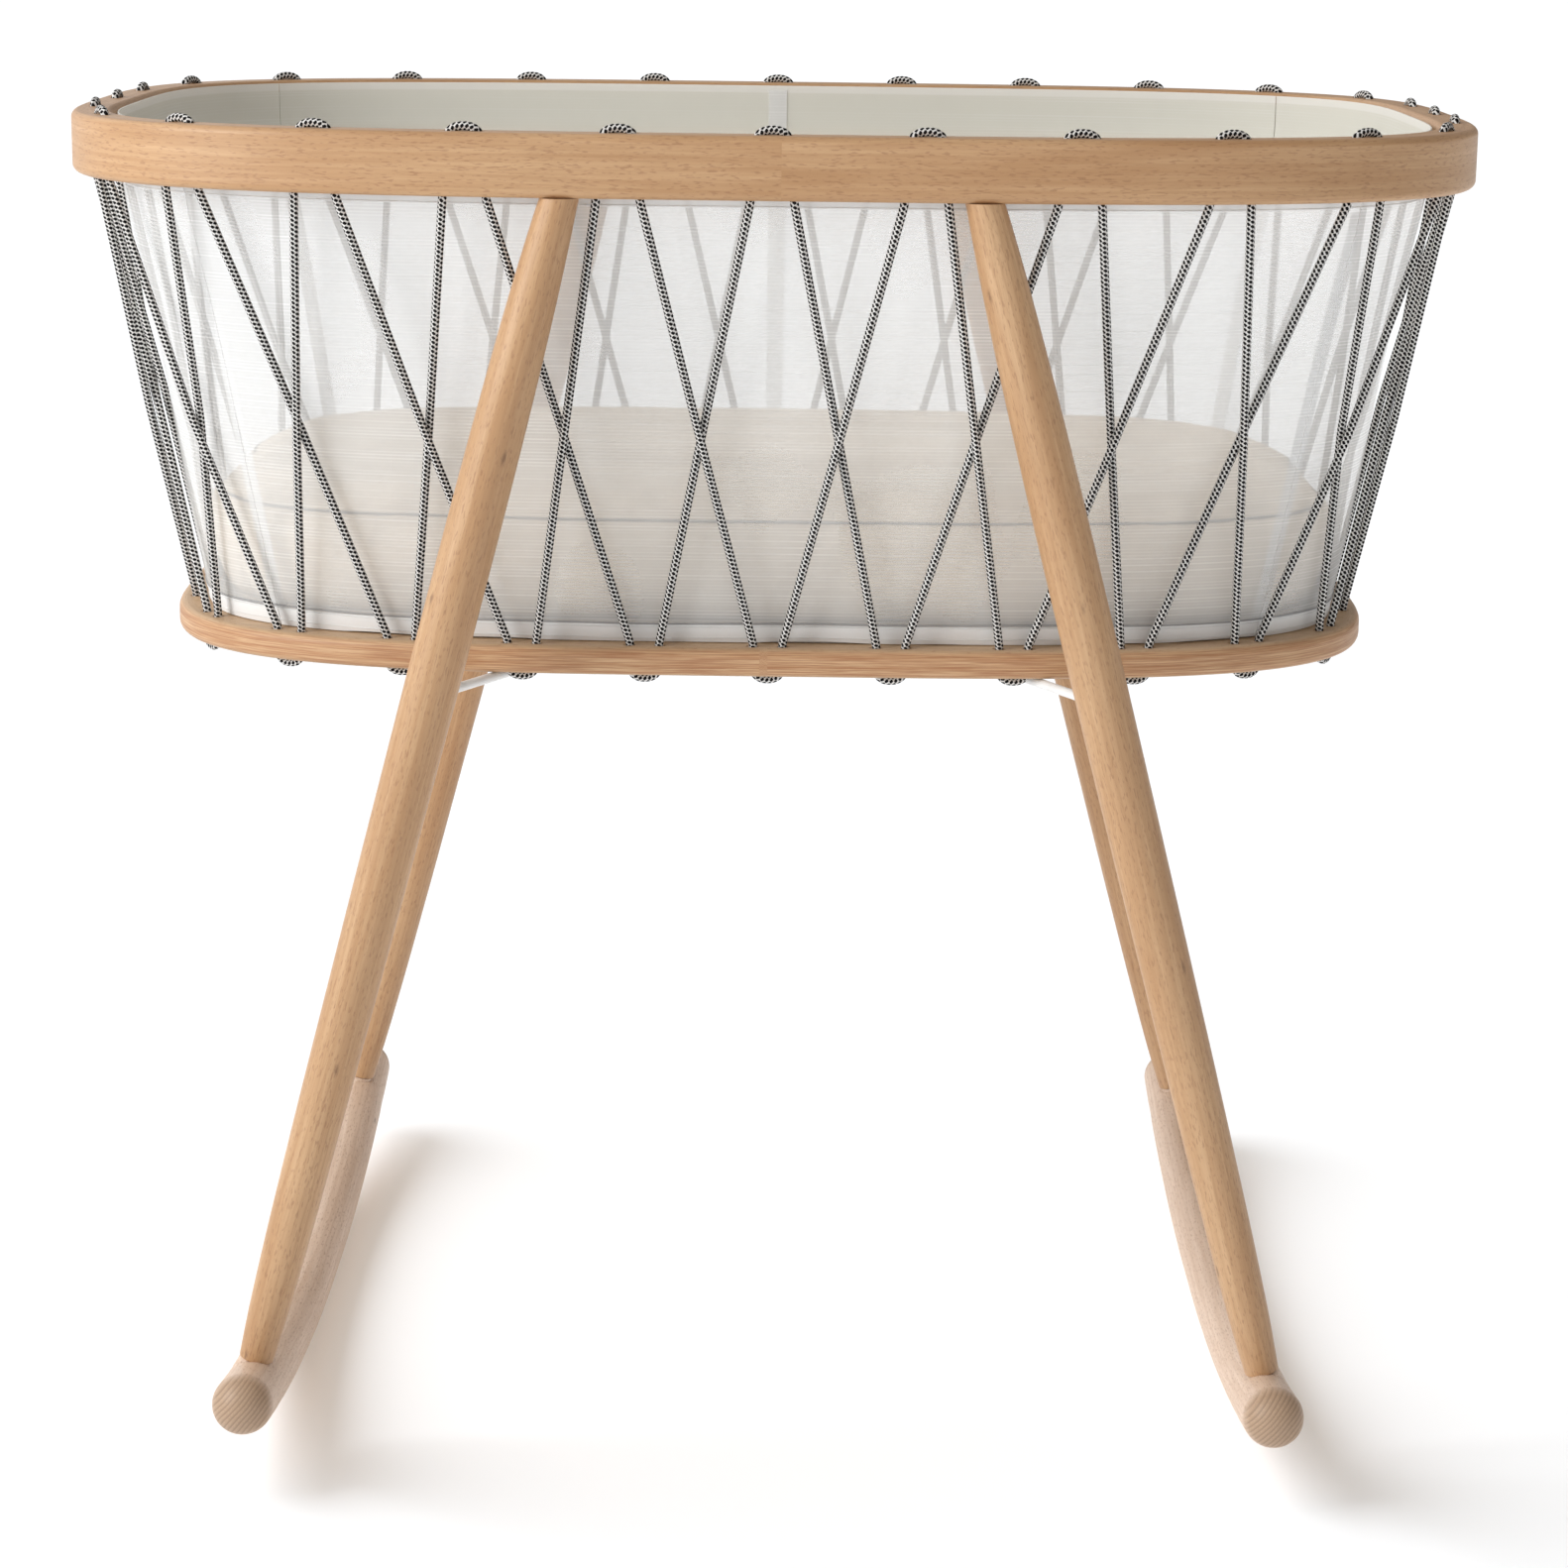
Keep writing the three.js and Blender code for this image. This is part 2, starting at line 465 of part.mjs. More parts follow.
// ---- liner bag: four wall panels seamed at the corners, and a floor
const WALL_TOP = -RIM_IN - GAP - STRIP_T - 1.5;          // outer face at the rim, from the rim line
const WALL_FOOT = -9;                                     // outer face at the base, from the base line
const WALL_ROWS = [[BASE_TOP + GAP, 0], [BASE_TOP + 75, 0.26], [RIM_BOT - 2, 1], [RIM_TOP - 1.5, 1]];
function wallPoint(f, share, inset, z) {
  const a = baseLine.at(f * baseLine.P), b = rimLine.at(f * rimLine.P);
  const pa = [a.p[0] + a.n[0] * (WALL_FOOT - inset), a.p[1] + a.n[1] * (WALL_FOOT - inset)];
  const pb = [b.p[0] + b.n[0] * (WALL_TOP - inset), b.p[1] + b.n[1] * (WALL_TOP - inset)];
  return [pa[0] + (pb[0] - pa[0]) * share, pa[1] + (pb[1] - pa[1]) * share, z];
}
const SEAM = 0.149;                                       // share of the way round from mid side to seam
const PANELS = [['liner_front', -SEAM, SEAM, 12], ['liner_right_end', SEAM, 0.5 - SEAM, 16], ['liner_back', 0.5 - SEAM, 0.5 + SEAM, 12], ['liner_left_end', 0.5 + SEAM, 1 - SEAM, 16]];
for (const [name, f0, f1, n] of PANELS) {
  const trim = 0.00012, rings = [];
  for (let i = 0; i <= n; i++) {
    const f = f0 + trim + ((f1 - f0 - 2 * trim) * i) / n;
    const ring = [];
    for (const [z, s] of WALL_ROWS) ring.push(wallPoint(f, s, 0, z));
    for (const [z, s] of [...WALL_ROWS].reverse()) ring.push(wallPoint(f, s, LINER_T, z));
    rings.push(ring);
  }
  put(name, loft(rings), 'mesh');
}
{
  const n = 56, o = WALL_FOOT - LINER_T - 2;
  put('liner_floor', loft([ringAt(baseLine, n, o, BASE_TOP + GAP), ringAt(baseLine, n, o, BASE_TOP + GAP + LINER_T)]), 'mesh');
}

// ---- mattress: a fitted oval pad, a little wider at its top seam
{
  const n = 44;
  const rows = [[MATTRESS_BOT, -0.0, -24], [MATTRESS_SEAM_LOW, 0.04, -6.5], [560, 0.16, -6], [MATTRESS_SEAM_HIGH, 0.26, -6], [598, 0.28, -20], [MATTRESS_TOP, 0.3, -60]];
  const rings = rows.map(([z, share, inset]) => Array.from({ length: n }, (_, i) => wallPoint(i / n, share, LINER_T - inset - 3.5, z)));
  put('mattress', loft(rings), 'cream');
}

export default root;
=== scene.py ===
import json
import math

import bmesh
import bpy
import numpy as np
from mathutils import Matrix, Vector
from mathutils.bvhtree import BVHTree
from mathutils.kdtree import KDTree

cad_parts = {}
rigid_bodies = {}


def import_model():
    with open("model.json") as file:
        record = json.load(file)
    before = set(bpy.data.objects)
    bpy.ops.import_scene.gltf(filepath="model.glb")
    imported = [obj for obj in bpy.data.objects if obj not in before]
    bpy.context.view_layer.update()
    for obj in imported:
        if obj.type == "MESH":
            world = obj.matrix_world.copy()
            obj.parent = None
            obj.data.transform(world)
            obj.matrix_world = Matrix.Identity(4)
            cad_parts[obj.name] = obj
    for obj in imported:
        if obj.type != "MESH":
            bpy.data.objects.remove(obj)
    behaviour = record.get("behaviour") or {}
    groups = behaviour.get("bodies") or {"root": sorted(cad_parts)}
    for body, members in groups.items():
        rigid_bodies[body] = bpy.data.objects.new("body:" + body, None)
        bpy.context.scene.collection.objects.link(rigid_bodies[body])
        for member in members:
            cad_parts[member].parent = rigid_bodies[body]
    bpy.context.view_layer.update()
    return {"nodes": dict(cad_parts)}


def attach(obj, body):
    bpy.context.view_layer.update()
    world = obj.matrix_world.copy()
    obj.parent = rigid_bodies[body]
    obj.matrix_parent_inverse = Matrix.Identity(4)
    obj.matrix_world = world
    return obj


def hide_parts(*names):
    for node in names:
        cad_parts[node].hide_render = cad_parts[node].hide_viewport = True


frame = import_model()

MM = 0.001
scene = bpy.context.scene

# ------------------------------------------------------------------ the design
# The same numbers as the frame's model, in millimetres.
N_EXP, LACES = 3.6, 28
RIM_A, RIM_B, RIM_T, RIM_TOP, RIM_H = 437.0, 297.3, 26.0, 834.0, 38.0
RIM_BOT = RIM_TOP - RIM_H
RIM_PAIR, RIM_PAIR_TOP = 13.0, 8.6
BASE_A, BASE_B, BASE_MARGIN, BASE_TOP, BASE_T = 381.6, 234.7, 11.0, 515.0, 18.0
BASE_BOT = BASE_TOP - BASE_T
BASE_PAIR, BASE_PAIR_LOW = 9.15, 7.6
CORD_R, HOLE_R, CROSS_OFFSET = 2.6, 3.0, 2.95
ROCKER_R, ROCKER_X, ROCKER_HALF, ROCKER_RISE, ROCKER_FLAT = 19.0, 320.6, 347.5, 34.0, 20.0
LEG_TOP = np.array([125.6, 299.5, RIM_BOT])
LEG_FOOT = np.array([319.0, 296.0, 63.3])
LEG_PROFILE = np.array([[-0.02, 22.4], [0, 23], [0.03, 25.4], [0.07, 28], [0.12, 30.2], [0.2, 32.2], [0.34, 33.2],
                        [0.5, 32.6], [0.66, 31.4], [0.8, 29.8], [0.9, 27.6], [0.96, 25], [1, 21.8]])
BRACKET_R, BRACKET_X, TAB_Y = 3.0, 110.0, 125.0
BRACKET_Z = BASE_BOT - 0.3 - BRACKET_R
GAP = 0.3
SEAM = 0.149
WALL_TOP, WALL_FOOT = -RIM_T / 2 - GAP - 1.2 - 1.5, -9.0
CORNERS = [("front_left", -1, -1), ("front_right", 1, -1), ("rear_left", -1, 1), ("rear_right", 1, 1)]


class Outline:
    """A superellipse from the middle of the near side, counter-clockwise, by distance along it."""

    def __init__(self, a, b, n=N_EXP, m=2880):
        t = -math.pi / 2 + 2 * math.pi * np.arange(m + 1) / m
        c, s = np.cos(t), np.sin(t)
        r = (np.abs(c / a) ** n + np.abs(s / b) ** n) ** (-1 / n)
        self.x, self.y, self.m = r * c, r * s, m
        self.d = np.concatenate([[0], np.cumsum(np.hypot(np.diff(self.x), np.diff(self.y)))])
        self.P = self.d[-1]

    def at(self, s):
        s = np.asarray(s, float) % self.P
        p = np.stack([np.interp(s, self.d, self.x), np.interp(s, self.d, self.y)], -1)
        h = 5.0
        f = np.stack([np.interp((s + h) % self.P, self.d, self.x), np.interp((s + h) % self.P, self.d, self.y)], -1)
        g = np.stack([np.interp((s - h) % self.P, self.d, self.x), np.interp((s - h) % self.P, self.d, self.y)], -1)
        t = f - g
        t /= np.linalg.norm(t, axis=-1, keepdims=True)
        return p, t, np.stack([t[..., 1], -t[..., 0]], -1)


RIM, BASE = Outline(RIM_A, RIM_B), Outline(BASE_A, BASE_B)
RP, BP = RIM.P / LACES, BASE.P / LACES


# ------------------------------------------------------------------ mesh tools
def make(name, verts, faces, grain=None, smooth=True):
    """A mesh object from millimetres; grain is one vector per face corner."""
    me = bpy.data.meshes.new(name)
    me.from_pydata((np.asarray(verts, float) * MM).tolist(), [], [list(map(int, f)) for f in faces])
    if grain is not None:
        a = me.attributes.new("grain", "FLOAT_VECTOR", "CORNER")
        a.data.foreach_set("vector", np.asarray(grain, np.float32).ravel())
    me.polygons.foreach_set("use_smooth", [smooth] * len(me.polygons))
    me.update()
    ob = bpy.data.objects.new(name, me)
    scene.collection.objects.link(ob)
    return ob


def loft(name, rings, coords=None, wrap_u=0.0, wrap_v=0.0, close=False, caps=True):
    """Skin over rings (m, n, 3). coords (m, n, 3) becomes the grain attribute, with its own value past each wrap."""
    rings = np.asarray(rings, float)
    m, n = rings.shape[:2]
    rows = m if close else m - 1
    j, i = np.meshgrid(np.arange(rows), np.arange(n), indexing="ij")
    j, i = j.ravel(), i.ravel()
    j2, i2 = (j + 1) % m, (i + 1) % n
    faces = np.stack([j * n + i, j * n + i2, j2 * n + i2, j2 * n + i], 1)
    grain = None
    if coords is not None:
        ext = np.zeros((m + 1, n + 1, 3))
        ext[:m, :n] = coords
        ext[:m, n] = coords[:, 0] + np.array([0, wrap_v, 0])
        ext[m] = ext[0] + np.array([wrap_u, 0, 0])
        grain = np.stack([ext[j, i], ext[j, i + 1], ext[j + 1, i + 1], ext[j + 1, i]], 1)
    out, g = faces.tolist(), ([] if grain is None else list(grain))
    if not close and caps:
        out.append(list(range(n))[::-1])
        out.append([(m - 1) * n + k for k in range(n)])
        if grain is not None:
            g.append(np.asarray(coords)[0, ::-1])
            g.append(np.asarray(coords)[m - 1])
    ob = make(name, rings.reshape(-1, 3), out, None if grain is None else np.concatenate([q.reshape(-1, 3) for q in g]))
    return outward(ob)


def outward(ob):
    """Faces out, on a closed mesh."""
    me = ob.data
    v = np.zeros(len(me.vertices) * 3)
    me.vertices.foreach_get("co", v)
    v = v.reshape(-1, 3)
    me.calc_loop_triangles()
    t = np.zeros(len(me.loop_triangles) * 3, int)
    me.loop_triangles.foreach_get("vertices", t)
    t = t.reshape(-1, 3)
    if (v[t[:, 0]] * np.cross(v[t[:, 1]], v[t[:, 2]])).sum() < 0:
        me.flip_normals()
    return ob


def frames(path, ref=None):
    """Tangent and two parallel-transported directions at each point of a path."""
    p = np.asarray(path, float)
    d = np.diff(p, axis=0)
    d /= np.linalg.norm(d, axis=1, keepdims=True)
    t = np.concatenate([d[:1], d[:-1] + d[1:], d[-1:]])
    t /= np.linalg.norm(t, axis=1, keepdims=True)
    ref = np.array(ref if ref is not None else ([1, 0, 0] if abs(t[0, 2]) > 0.9 else [0, 0, 1]), float)
    u = np.zeros_like(p)
    u[0] = ref - t[0] * (ref @ t[0])
    u[0] /= np.linalg.norm(u[0])
    for k in range(1, len(p)):
        q = Vector(t[k - 1]).rotation_difference(Vector(t[k]))
        w = np.array(q @ Vector(u[k - 1]))
        w -= t[k] * (w @ t[k])
        u[k] = w / np.linalg.norm(w)
    return t, u, np.cross(t, u)


def tube_rings(path, radii, sides, ref=None):
    p = np.asarray(path, float)
    t, u, v = frames(p, ref)
    r = np.broadcast_to(np.asarray(radii, float), (len(p),))
    a = 2 * math.pi * np.arange(sides) / sides
    ring = (u[:, None] * np.cos(a)[None, :, None] + v[:, None] * np.sin(a)[None, :, None]) * r[:, None, None]
    s = np.concatenate([[0], np.cumsum(np.linalg.norm(np.diff(p, axis=0), axis=1))])
    return p[:, None] + ring, s, a, r


def round_corners(path, radius, steps=5):
    """Each corner of a polyline as an arc-like curve."""
    p = np.asarray(path, float)
    out = [p[0]]
    for k in range(1, len(p) - 1):
        a, b, c = p[k - 1], p[k], p[k + 1]
        la, lc = np.linalg.norm(a - b), np.linalg.norm(c - b)
        h = min(radius, la * 0.45, lc * 0.45)
        p0, p2 = b + (a - b) / la * h, b + (c - b) / lc * h
        for w in np.linspace(0, 1, steps):
            out.append((1 - w) ** 2 * p0 + 2 * w * (1 - w) * b + w * w * p2)
    out.append(p[-1])
    keep = [out[0]]
    for q in out[1:]:
        if np.linalg.norm(q - keep[-1]) > 0.05:
            keep.append(q)
    return np.array(keep)


def spaced(path, step):
    p = np.asarray(path, float)
    s = np.concatenate([[0], np.cumsum(np.linalg.norm(np.diff(p, axis=0), axis=1))])
    at = np.linspace(0, s[-1], max(2, int(round(s[-1] / step)) + 1))
    return np.stack([np.interp(at, s, p[:, k]) for k in range(3)], 1)


def lathe(name, profile, sides, origin, axis, grain=None):
    """Closed round piece from (radius, distance along axis) rows, first and last capped."""
    origin, axis = np.asarray(origin, float), np.asarray(axis, float)
    axis /= np.linalg.norm(axis)
    ref = np.array([1.0, 0, 0]) if abs(axis[2]) > 0.9 else np.array([0, 0, 1.0])
    u = ref - axis * (ref @ axis)
    u /= np.linalg.norm(u)
    v = np.cross(axis, u)
    a = 2 * math.pi * np.arange(sides) / sides
    rings = [origin + axis * d + (u * np.cos(a)[:, None] + v * np.sin(a)[:, None]) * r for r, d in profile]
    co = [np.stack([np.full(sides, d), r * np.cos(a), r * np.sin(a)], 1) * MM for r, d in profile]
    return loft(name, rings, np.array(co))


def freeze(ob):
    """The object's modifiers applied."""
    dg = bpy.context.evaluated_depsgraph_get()
    me = bpy.data.meshes.new_from_object(ob.evaluated_get(dg))
    ob.modifiers.clear()
    old = ob.data
    ob.data = me
    bpy.data.meshes.remove(old)
    return ob


def join_objects(name, obs):
    """One object from several, with their attributes lost."""
    v, f, o = [], [], 0
    for ob in obs:
        me = ob.data
        for q in me.vertices:
            v.append(tuple(q.co / MM))
        for p in me.polygons:
            f.append([k + o for k in p.vertices])
        o = len(v)
        bpy.data.objects.remove(ob)
    return make(name, v, f)


def cut(ob, cutters):
    tool = join_objects("tool", cutters)
    mod = ob.modifiers.new("cut", "BOOLEAN")
    mod.operation, mod.solver, mod.object = "DIFFERENCE", "EXACT", tool
    freeze(ob)
    bpy.data.objects.remove(tool)
    return ob


def points_of(ob):
    v = np.zeros(len(ob.data.vertices) * 3)
    ob.data.vertices.foreach_get("co", v)
    return v.reshape(-1, 3) / MM


def set_points(ob, p):
    ob.data.vertices.foreach_set("co", (np.asarray(p, float) * MM).ravel())
    ob.data.update()


def sharpen(ob, angle=32, weighted=True):
    bm = bmesh.new()
    bm.from_mesh(ob.data)
    bmesh.ops.remove_doubles(bm, verts=bm.verts, dist=2e-6)
    lim = math.radians(angle)
    for e in bm.edges:
        e.smooth = not (len(e.link_faces) == 2 and e.calc_face_angle(0) > lim)
    for f in bm.faces:
        f.smooth = True
    bm.to_mesh(ob.data)
    bm.free()
    if weighted:
        w = ob.modifiers.new("normals", "WEIGHTED_NORMAL")
        w.keep_sharp = True
    return ob


def grain_by_place(ob, fn, wrap=0.0):
    """Sets the grain attribute from each vertex's place. wrap is the period of its first number, in metres."""
    me = ob.data
    c = fn(points_of(ob)) * MM
    loops = np.zeros(len(me.loops), int)
    me.loops.foreach_get("vertex_index", loops)
    g = c[loops]
    if wrap:
        start = np.zeros(len(me.polygons), int)
        me.polygons.foreach_get("loop_start", start)
        face = np.repeat(np.arange(len(start)), np.diff(np.append(start, len(loops))))
        top = np.maximum.reduceat(g[:, 0], start)
        low = (top[face] - g[:, 0]) > wrap / 2
        g[low, 0] += wrap
    if "grain" in me.attributes:
        me.attributes.remove(me.attributes["grain"])
    a = me.attributes.new("grain", "FLOAT_VECTOR", "CORNER")
    a.data.foreach_set("vector", g.astype(np.float32).ravel())
    return ob


def outline_places(line):
    tree = KDTree(line.m)
    for k in range(line.m):
        tree.insert((line.x[k], line.y[k], 0), k)
    tree.balance()

    def fn(p):
        k = np.array([tree.find((x, y, 0))[1] for x, y in p[:, :2]])
        q, t, n = line.at(line.d[k])
        d = p[:, :2] - q
        s = (line.d[k] + (d * t).sum(1)) % line.P
        return np.stack([s, (d * n).sum(1), p[:, 2]], 1)
    return fn


def hermite(x, xs, ys):
    """Smooth curve through a profile's points."""
    m = np.gradient(ys, xs)
    k = np.clip(np.searchsorted(xs, x) - 1, 0, len(xs) - 2)
    h = xs[k + 1] - xs[k]
    t = (x - xs[k]) / h
    return ((2 * t**3 - 3 * t**2 + 1) * ys[k] + (t**3 - 2 * t**2 + t) * h * m[k]
            + (-2 * t**3 + 3 * t**2) * ys[k + 1] + (t**3 - t**2) * h * m[k + 1])


# ------------------------------------------------------------------- materials
class Nodes:
    def __init__(self, name):
        self.mat = bpy.data.materials.new(name)
        self.mat.use_nodes = True
        self.t = self.mat.node_tree
        self.b = self.t.nodes["Principled BSDF"]

    def new(self, kind, **kw):
        n = self.t.nodes.new(kind)
        for k, v in kw.items():
            setattr(n, k, v)
        return n

    def link(self, a, b):
        self.t.links.new(a, b)

    def put(self, socket, value):
        if hasattr(value, "is_output") or isinstance(value, bpy.types.NodeSocket):
            self.link(value, socket)
        else:
            socket.default_value = value

    def math(self, op, a, b=0.0, c=0.0, clamp=False):
        n = self.new("ShaderNodeMath", operation=op, use_clamp=clamp)
        for s, v in zip(n.inputs, (a, b, c)):
            self.put(s, v)
        return n.outputs[0]

    def vec(self, op, a, b=(0, 0, 0)):
        n = self.new("ShaderNodeVectorMath", operation=op)
        self.put(n.inputs[0], a)
        self.put(n.inputs[1], b)
        return n.outputs[0]

    def noise(self, vector, scale=1.0, detail=2.0, rough=0.5, distortion=0.0):
        n = self.new("ShaderNodeTexNoise")
        self.link(vector, n.inputs["Vector"])
        n.inputs["Scale"].default_value = scale
        n.inputs["Detail"].default_value = detail
        n.inputs["Roughness"].default_value = rough
        n.inputs["Distortion"].default_value = distortion
        return n.outputs["Fac"]

    def ramp(self, fac, stops, interp="LINEAR"):
        n = self.new("ShaderNodeValToRGB")
        n.color_ramp.interpolation = interp
        el = n.color_ramp.elements
        while len(el) > 1:
            el.remove(el[-1])
        for k, (pos, col) in enumerate(stops):
            e = el[0] if k == 0 else el.new(pos)
            e.position = pos
            e.color = (*col, 1) if hasattr(col, "__len__") else (col, col, col, 1)
        self.link(fac, n.inputs["Fac"])
        return n.outputs["Color"]

    def mix(self, fac, a, b, blend="MIX"):
        n = self.new("ShaderNodeMix", data_type="RGBA", blend_type=blend)
        self.put(n.inputs["Factor"], fac)
        for s, v in ((n.inputs["A"], a), (n.inputs["B"], b)):
            if isinstance(v, tuple):
                v = (*v, 1) if len(v) == 3 else v
            for q in (x for x in n.inputs if x.name == s.name and x.type == "RGBA"):
                self.put(q, v)
        return [o for o in n.outputs if o.type == "RGBA"][0]

    def grain(self, offset=(0, 0, 0)):
        a = self.new("ShaderNodeAttribute", attribute_name="grain")
        return self.vec("ADD", a.outputs["Vector"], offset)

    def place(self):
        return self.new("ShaderNodeTexCoord").outputs["Object"]

    def split(self, v):
        n = self.new("ShaderNodeSeparateXYZ")
        self.link(v, n.inputs[0])
        return n.outputs

    def join(self, x, y, z):
        n = self.new("ShaderNodeCombineXYZ")
        for s, v in zip(n.inputs, (x, y, z)):
            self.put(s, v)
        return n.outputs[0]

    def bump(self, height, strength, distance, under=None):
        n = self.new("ShaderNodeBump")
        n.inputs["Strength"].default_value = strength
        n.inputs["Distance"].default_value = distance
        self.put(n.inputs["Height"], height)
        if under is not None:
            self.link(under, n.inputs["Normal"])
        return n.outputs[0]

    def finish(self, color=None, rough=None, normal=None, **fixed):
        if color is not None:
            self.put(self.b.inputs["Base Color"], (*color, 1) if isinstance(color, tuple) and len(color) == 3 else color)
        if rough is not None:
            self.put(self.b.inputs["Roughness"], rough)
        if normal is not None:
            self.link(normal, self.b.inputs["Normal"])
        for k, v in fixed.items():
            self.b.inputs[k.replace("_", " ")].default_value = v
        return self.mat


def wood(name, light, dark, fleck, offset, knots=0.0, pith=(0.055, -0.09), ply=False, rough=0.46, ends=0.0):
    """Beech: growth rings round a pith beside the piece, fine fibres, short ray flecks and a few pin knots."""
    n = Nodes(name)
    g = n.grain(offset)
    x, y, z = n.split(g)
    slow = n.noise(n.vec("MULTIPLY", g, (2.4, 22.0, 22.0)), 1.0, 2.0, 0.5)
    dy, dz = n.math("SUBTRACT", y, pith[0]), n.math("SUBTRACT", z, pith[1])
    r = n.math("SQRT", n.math("ADD", n.math("MULTIPLY", dy, dy), n.math("MULTIPLY", dz, dz)))
    r = n.math("ADD", r, n.math("MULTIPLY", slow, 0.016))
    ring = n.math("FRACT", n.math("MULTIPLY", r, 1 / 0.0034))
    ring = n.ramp(ring, [(0.0, 0.1), (0.55, 0.3), (0.86, 1.0), (0.97, 0.7), (1.0, 0.1)])
    fibre = n.noise(n.vec("MULTIPLY", g, (30.0, 1300.0, 1300.0)), 1.0, 3.0, 0.62)
    streak = n.noise(n.vec("MULTIPLY", g, (9.0, 330.0, 330.0)), 1.0, 3.0, 0.6)
    fleck_n = n.noise(n.vec("MULTIPLY", g, (190.0, 1100.0, 1100.0)), 1.0, 1.0, 0.5)
    flecks = n.ramp(fleck_n, [(0.585, 0.0), (0.675, 1.0)])
    patch = n.noise(n.vec("MULTIPLY", g, (5.0, 60.0, 60.0)), 1.0, 3.0, 0.55)
    base = n.mix(n.ramp(patch, [(0.36, 0.0), (0.64, 1.0)]), light, dark)
    mid = tuple(0.5 * (a + b) * s for a, b, s in zip(light, dark, (0.80, 0.72, 0.64)))
    pale = tuple(min(1.0, a * s) for a, s in zip(light, (1.10, 1.14, 1.18)))
    col = n.mix(n.math("MULTIPLY", ring, 0.42), base, mid)
    col = n.mix(n.math("MULTIPLY", n.ramp(streak, [(0.50, 0.0), (0.66, 1.0)]), 0.38), col, mid)
    col = n.mix(n.math("MULTIPLY", n.ramp(streak, [(0.34, 1.0), (0.46, 0.0)]), 0.30), col, pale)
    col = n.mix(n.math("MULTIPLY", n.ramp(fibre, [(0.38, 0.0), (0.66, 1.0)]), 0.26), col, tuple(0.78 * c for c in dark))
    col = n.mix(n.math("MULTIPLY", flecks, 0.42), col, fleck)
    height = n.math("SUBTRACT", n.math("MULTIPLY", fibre, 0.5), n.math("MULTIPLY", flecks, 0.55))
    if knots:
        v = n.new("ShaderNodeTexVoronoi", feature="F1")
        n.link(n.vec("MULTIPLY", g, (30.0, 95.0, 95.0)), v.inputs["Vector"])
        v.inputs["Scale"].default_value = 1.0
        pick = n.math("GREATER_THAN", n.split(v.outputs["Color"])[0], 1 - knots)
        wob = n.math("ADD", v.outputs["Distance"], n.math("MULTIPLY", n.noise(n.vec("MULTIPLY", g, (500.0, 1200.0, 1200.0)), 1.0, 2.0), 0.14))
        spot = n.math("MULTIPLY", n.ramp(wob, [(0.14, 1.0), (0.19, 0.4), (0.26, 0.0)]), pick)
        col = n.mix(n.math("MULTIPLY", spot, 0.62), col, (0.15, 0.07, 0.035))
        height = n.math("SUBTRACT", height, n.math("MULTIPLY", spot, 0.6))
    if ends:
        # sawn and rounded ends: darker, with the rings cut across
        at = n.split(n.grain())[0]
        mid_s = n.math("ABSOLUTE", n.math("SUBTRACT", at, ends))
        end = n.ramp(n.math("MULTIPLY", n.math("SUBTRACT", mid_s, ends - 0.002), 1 / 0.012), [(0.0, 0.0), (1.0, 1.0)])
        cut_ring = n.math("FRACT", n.math("MULTIPLY", n.math("ADD", n.math("ADD", n.math("MULTIPLY", y, 0.78), n.math("MULTIPLY", z, 0.62)), n.math("MULTIPLY", slow, 0.006)), 1 / 0.0027))
        cut_ring = n.ramp(cut_ring, [(0.0, 0.0), (0.45, 0.25), (0.78, 1.0), (0.92, 0.6), (1.0, 0.0)])
        pore = n.noise(n.vec("MULTIPLY", g, (1500.0, 1500.0, 1500.0)), 1.0, 2.0, 0.6)
        face = n.mix(cut_ring, tuple(q * c for q, c in zip((0.74, 0.68, 0.60), dark)), tuple(q * c for q, c in zip((0.46, 0.40, 0.34), dark)))
        face = n.mix(n.math("MULTIPLY", n.ramp(pore, [(0.42, 0.0), (0.62, 1.0)]), 0.35), face, tuple(q * c for q, c in zip((0.38, 0.33, 0.28), dark)))
        col = n.mix(end, col, face)
    if ply:
        geo = n.new("ShaderNodeNewGeometry")
        up = n.math("ABSOLUTE", n.split(geo.outputs["Normal"])[2])
        edge = n.ramp(up, [(0.62, 1.0), (0.93, 0.0)])
        warp = n.noise(n.vec("MULTIPLY", g, (7.0, 40.0, 0.0)), 1.0, 2.0)
        zz = n.math("ADD", z, n.math("MULTIPLY", warp, 0.0008))
        lay = n.math("MULTIPLY", n.math("SUBTRACT", zz, BASE_BOT * MM), 1 / 0.0060)
        band = n.ramp(n.math("FRACT", lay), [(0.0, 0.2), (0.08, 0.8), (0.3, 1.0), (0.46, 0.7), (0.52, 0.1), (0.9, 0.0), (1.0, 0.2)])
        glue = n.ramp(n.math("FRACT", n.math("MULTIPLY", lay, 2.0)), [(0.0, 1.0), (0.06, 0.0), (0.94, 0.0), (1.0, 1.0)])
        along = n.noise(n.vec("MULTIPLY", n.join(x, 0.0, z), (22.0, 1.0, 1100.0)), 1.0, 3.0, 0.65)
        side = n.mix(n.math("MULTIPLY", band, 0.7), (0.60, 0.37, 0.20), (0.50, 0.27, 0.13))
        side = n.mix(n.math("MULTIPLY", n.ramp(along, [(0.42, 0.0), (0.60, 1.0)]), 0.70), side, (0.34, 0.135, 0.055))
        side = n.mix(n.math("MULTIPLY", n.ramp(along, [(0.36, 1.0), (0.46, 0.0)]), 0.30), side, (0.70, 0.48, 0.30))
        side = n.mix(n.math("MULTIPLY", glue, 0.38), side, (0.26, 0.12, 0.055))
        col = n.mix(edge, col, side)
    tone_r = n.math("ADD", n.math("MULTIPLY", fibre, 0.14), rough - 0.07)
    return n.finish(col, tone_r, n.bump(height, 0.35, 0.00025))


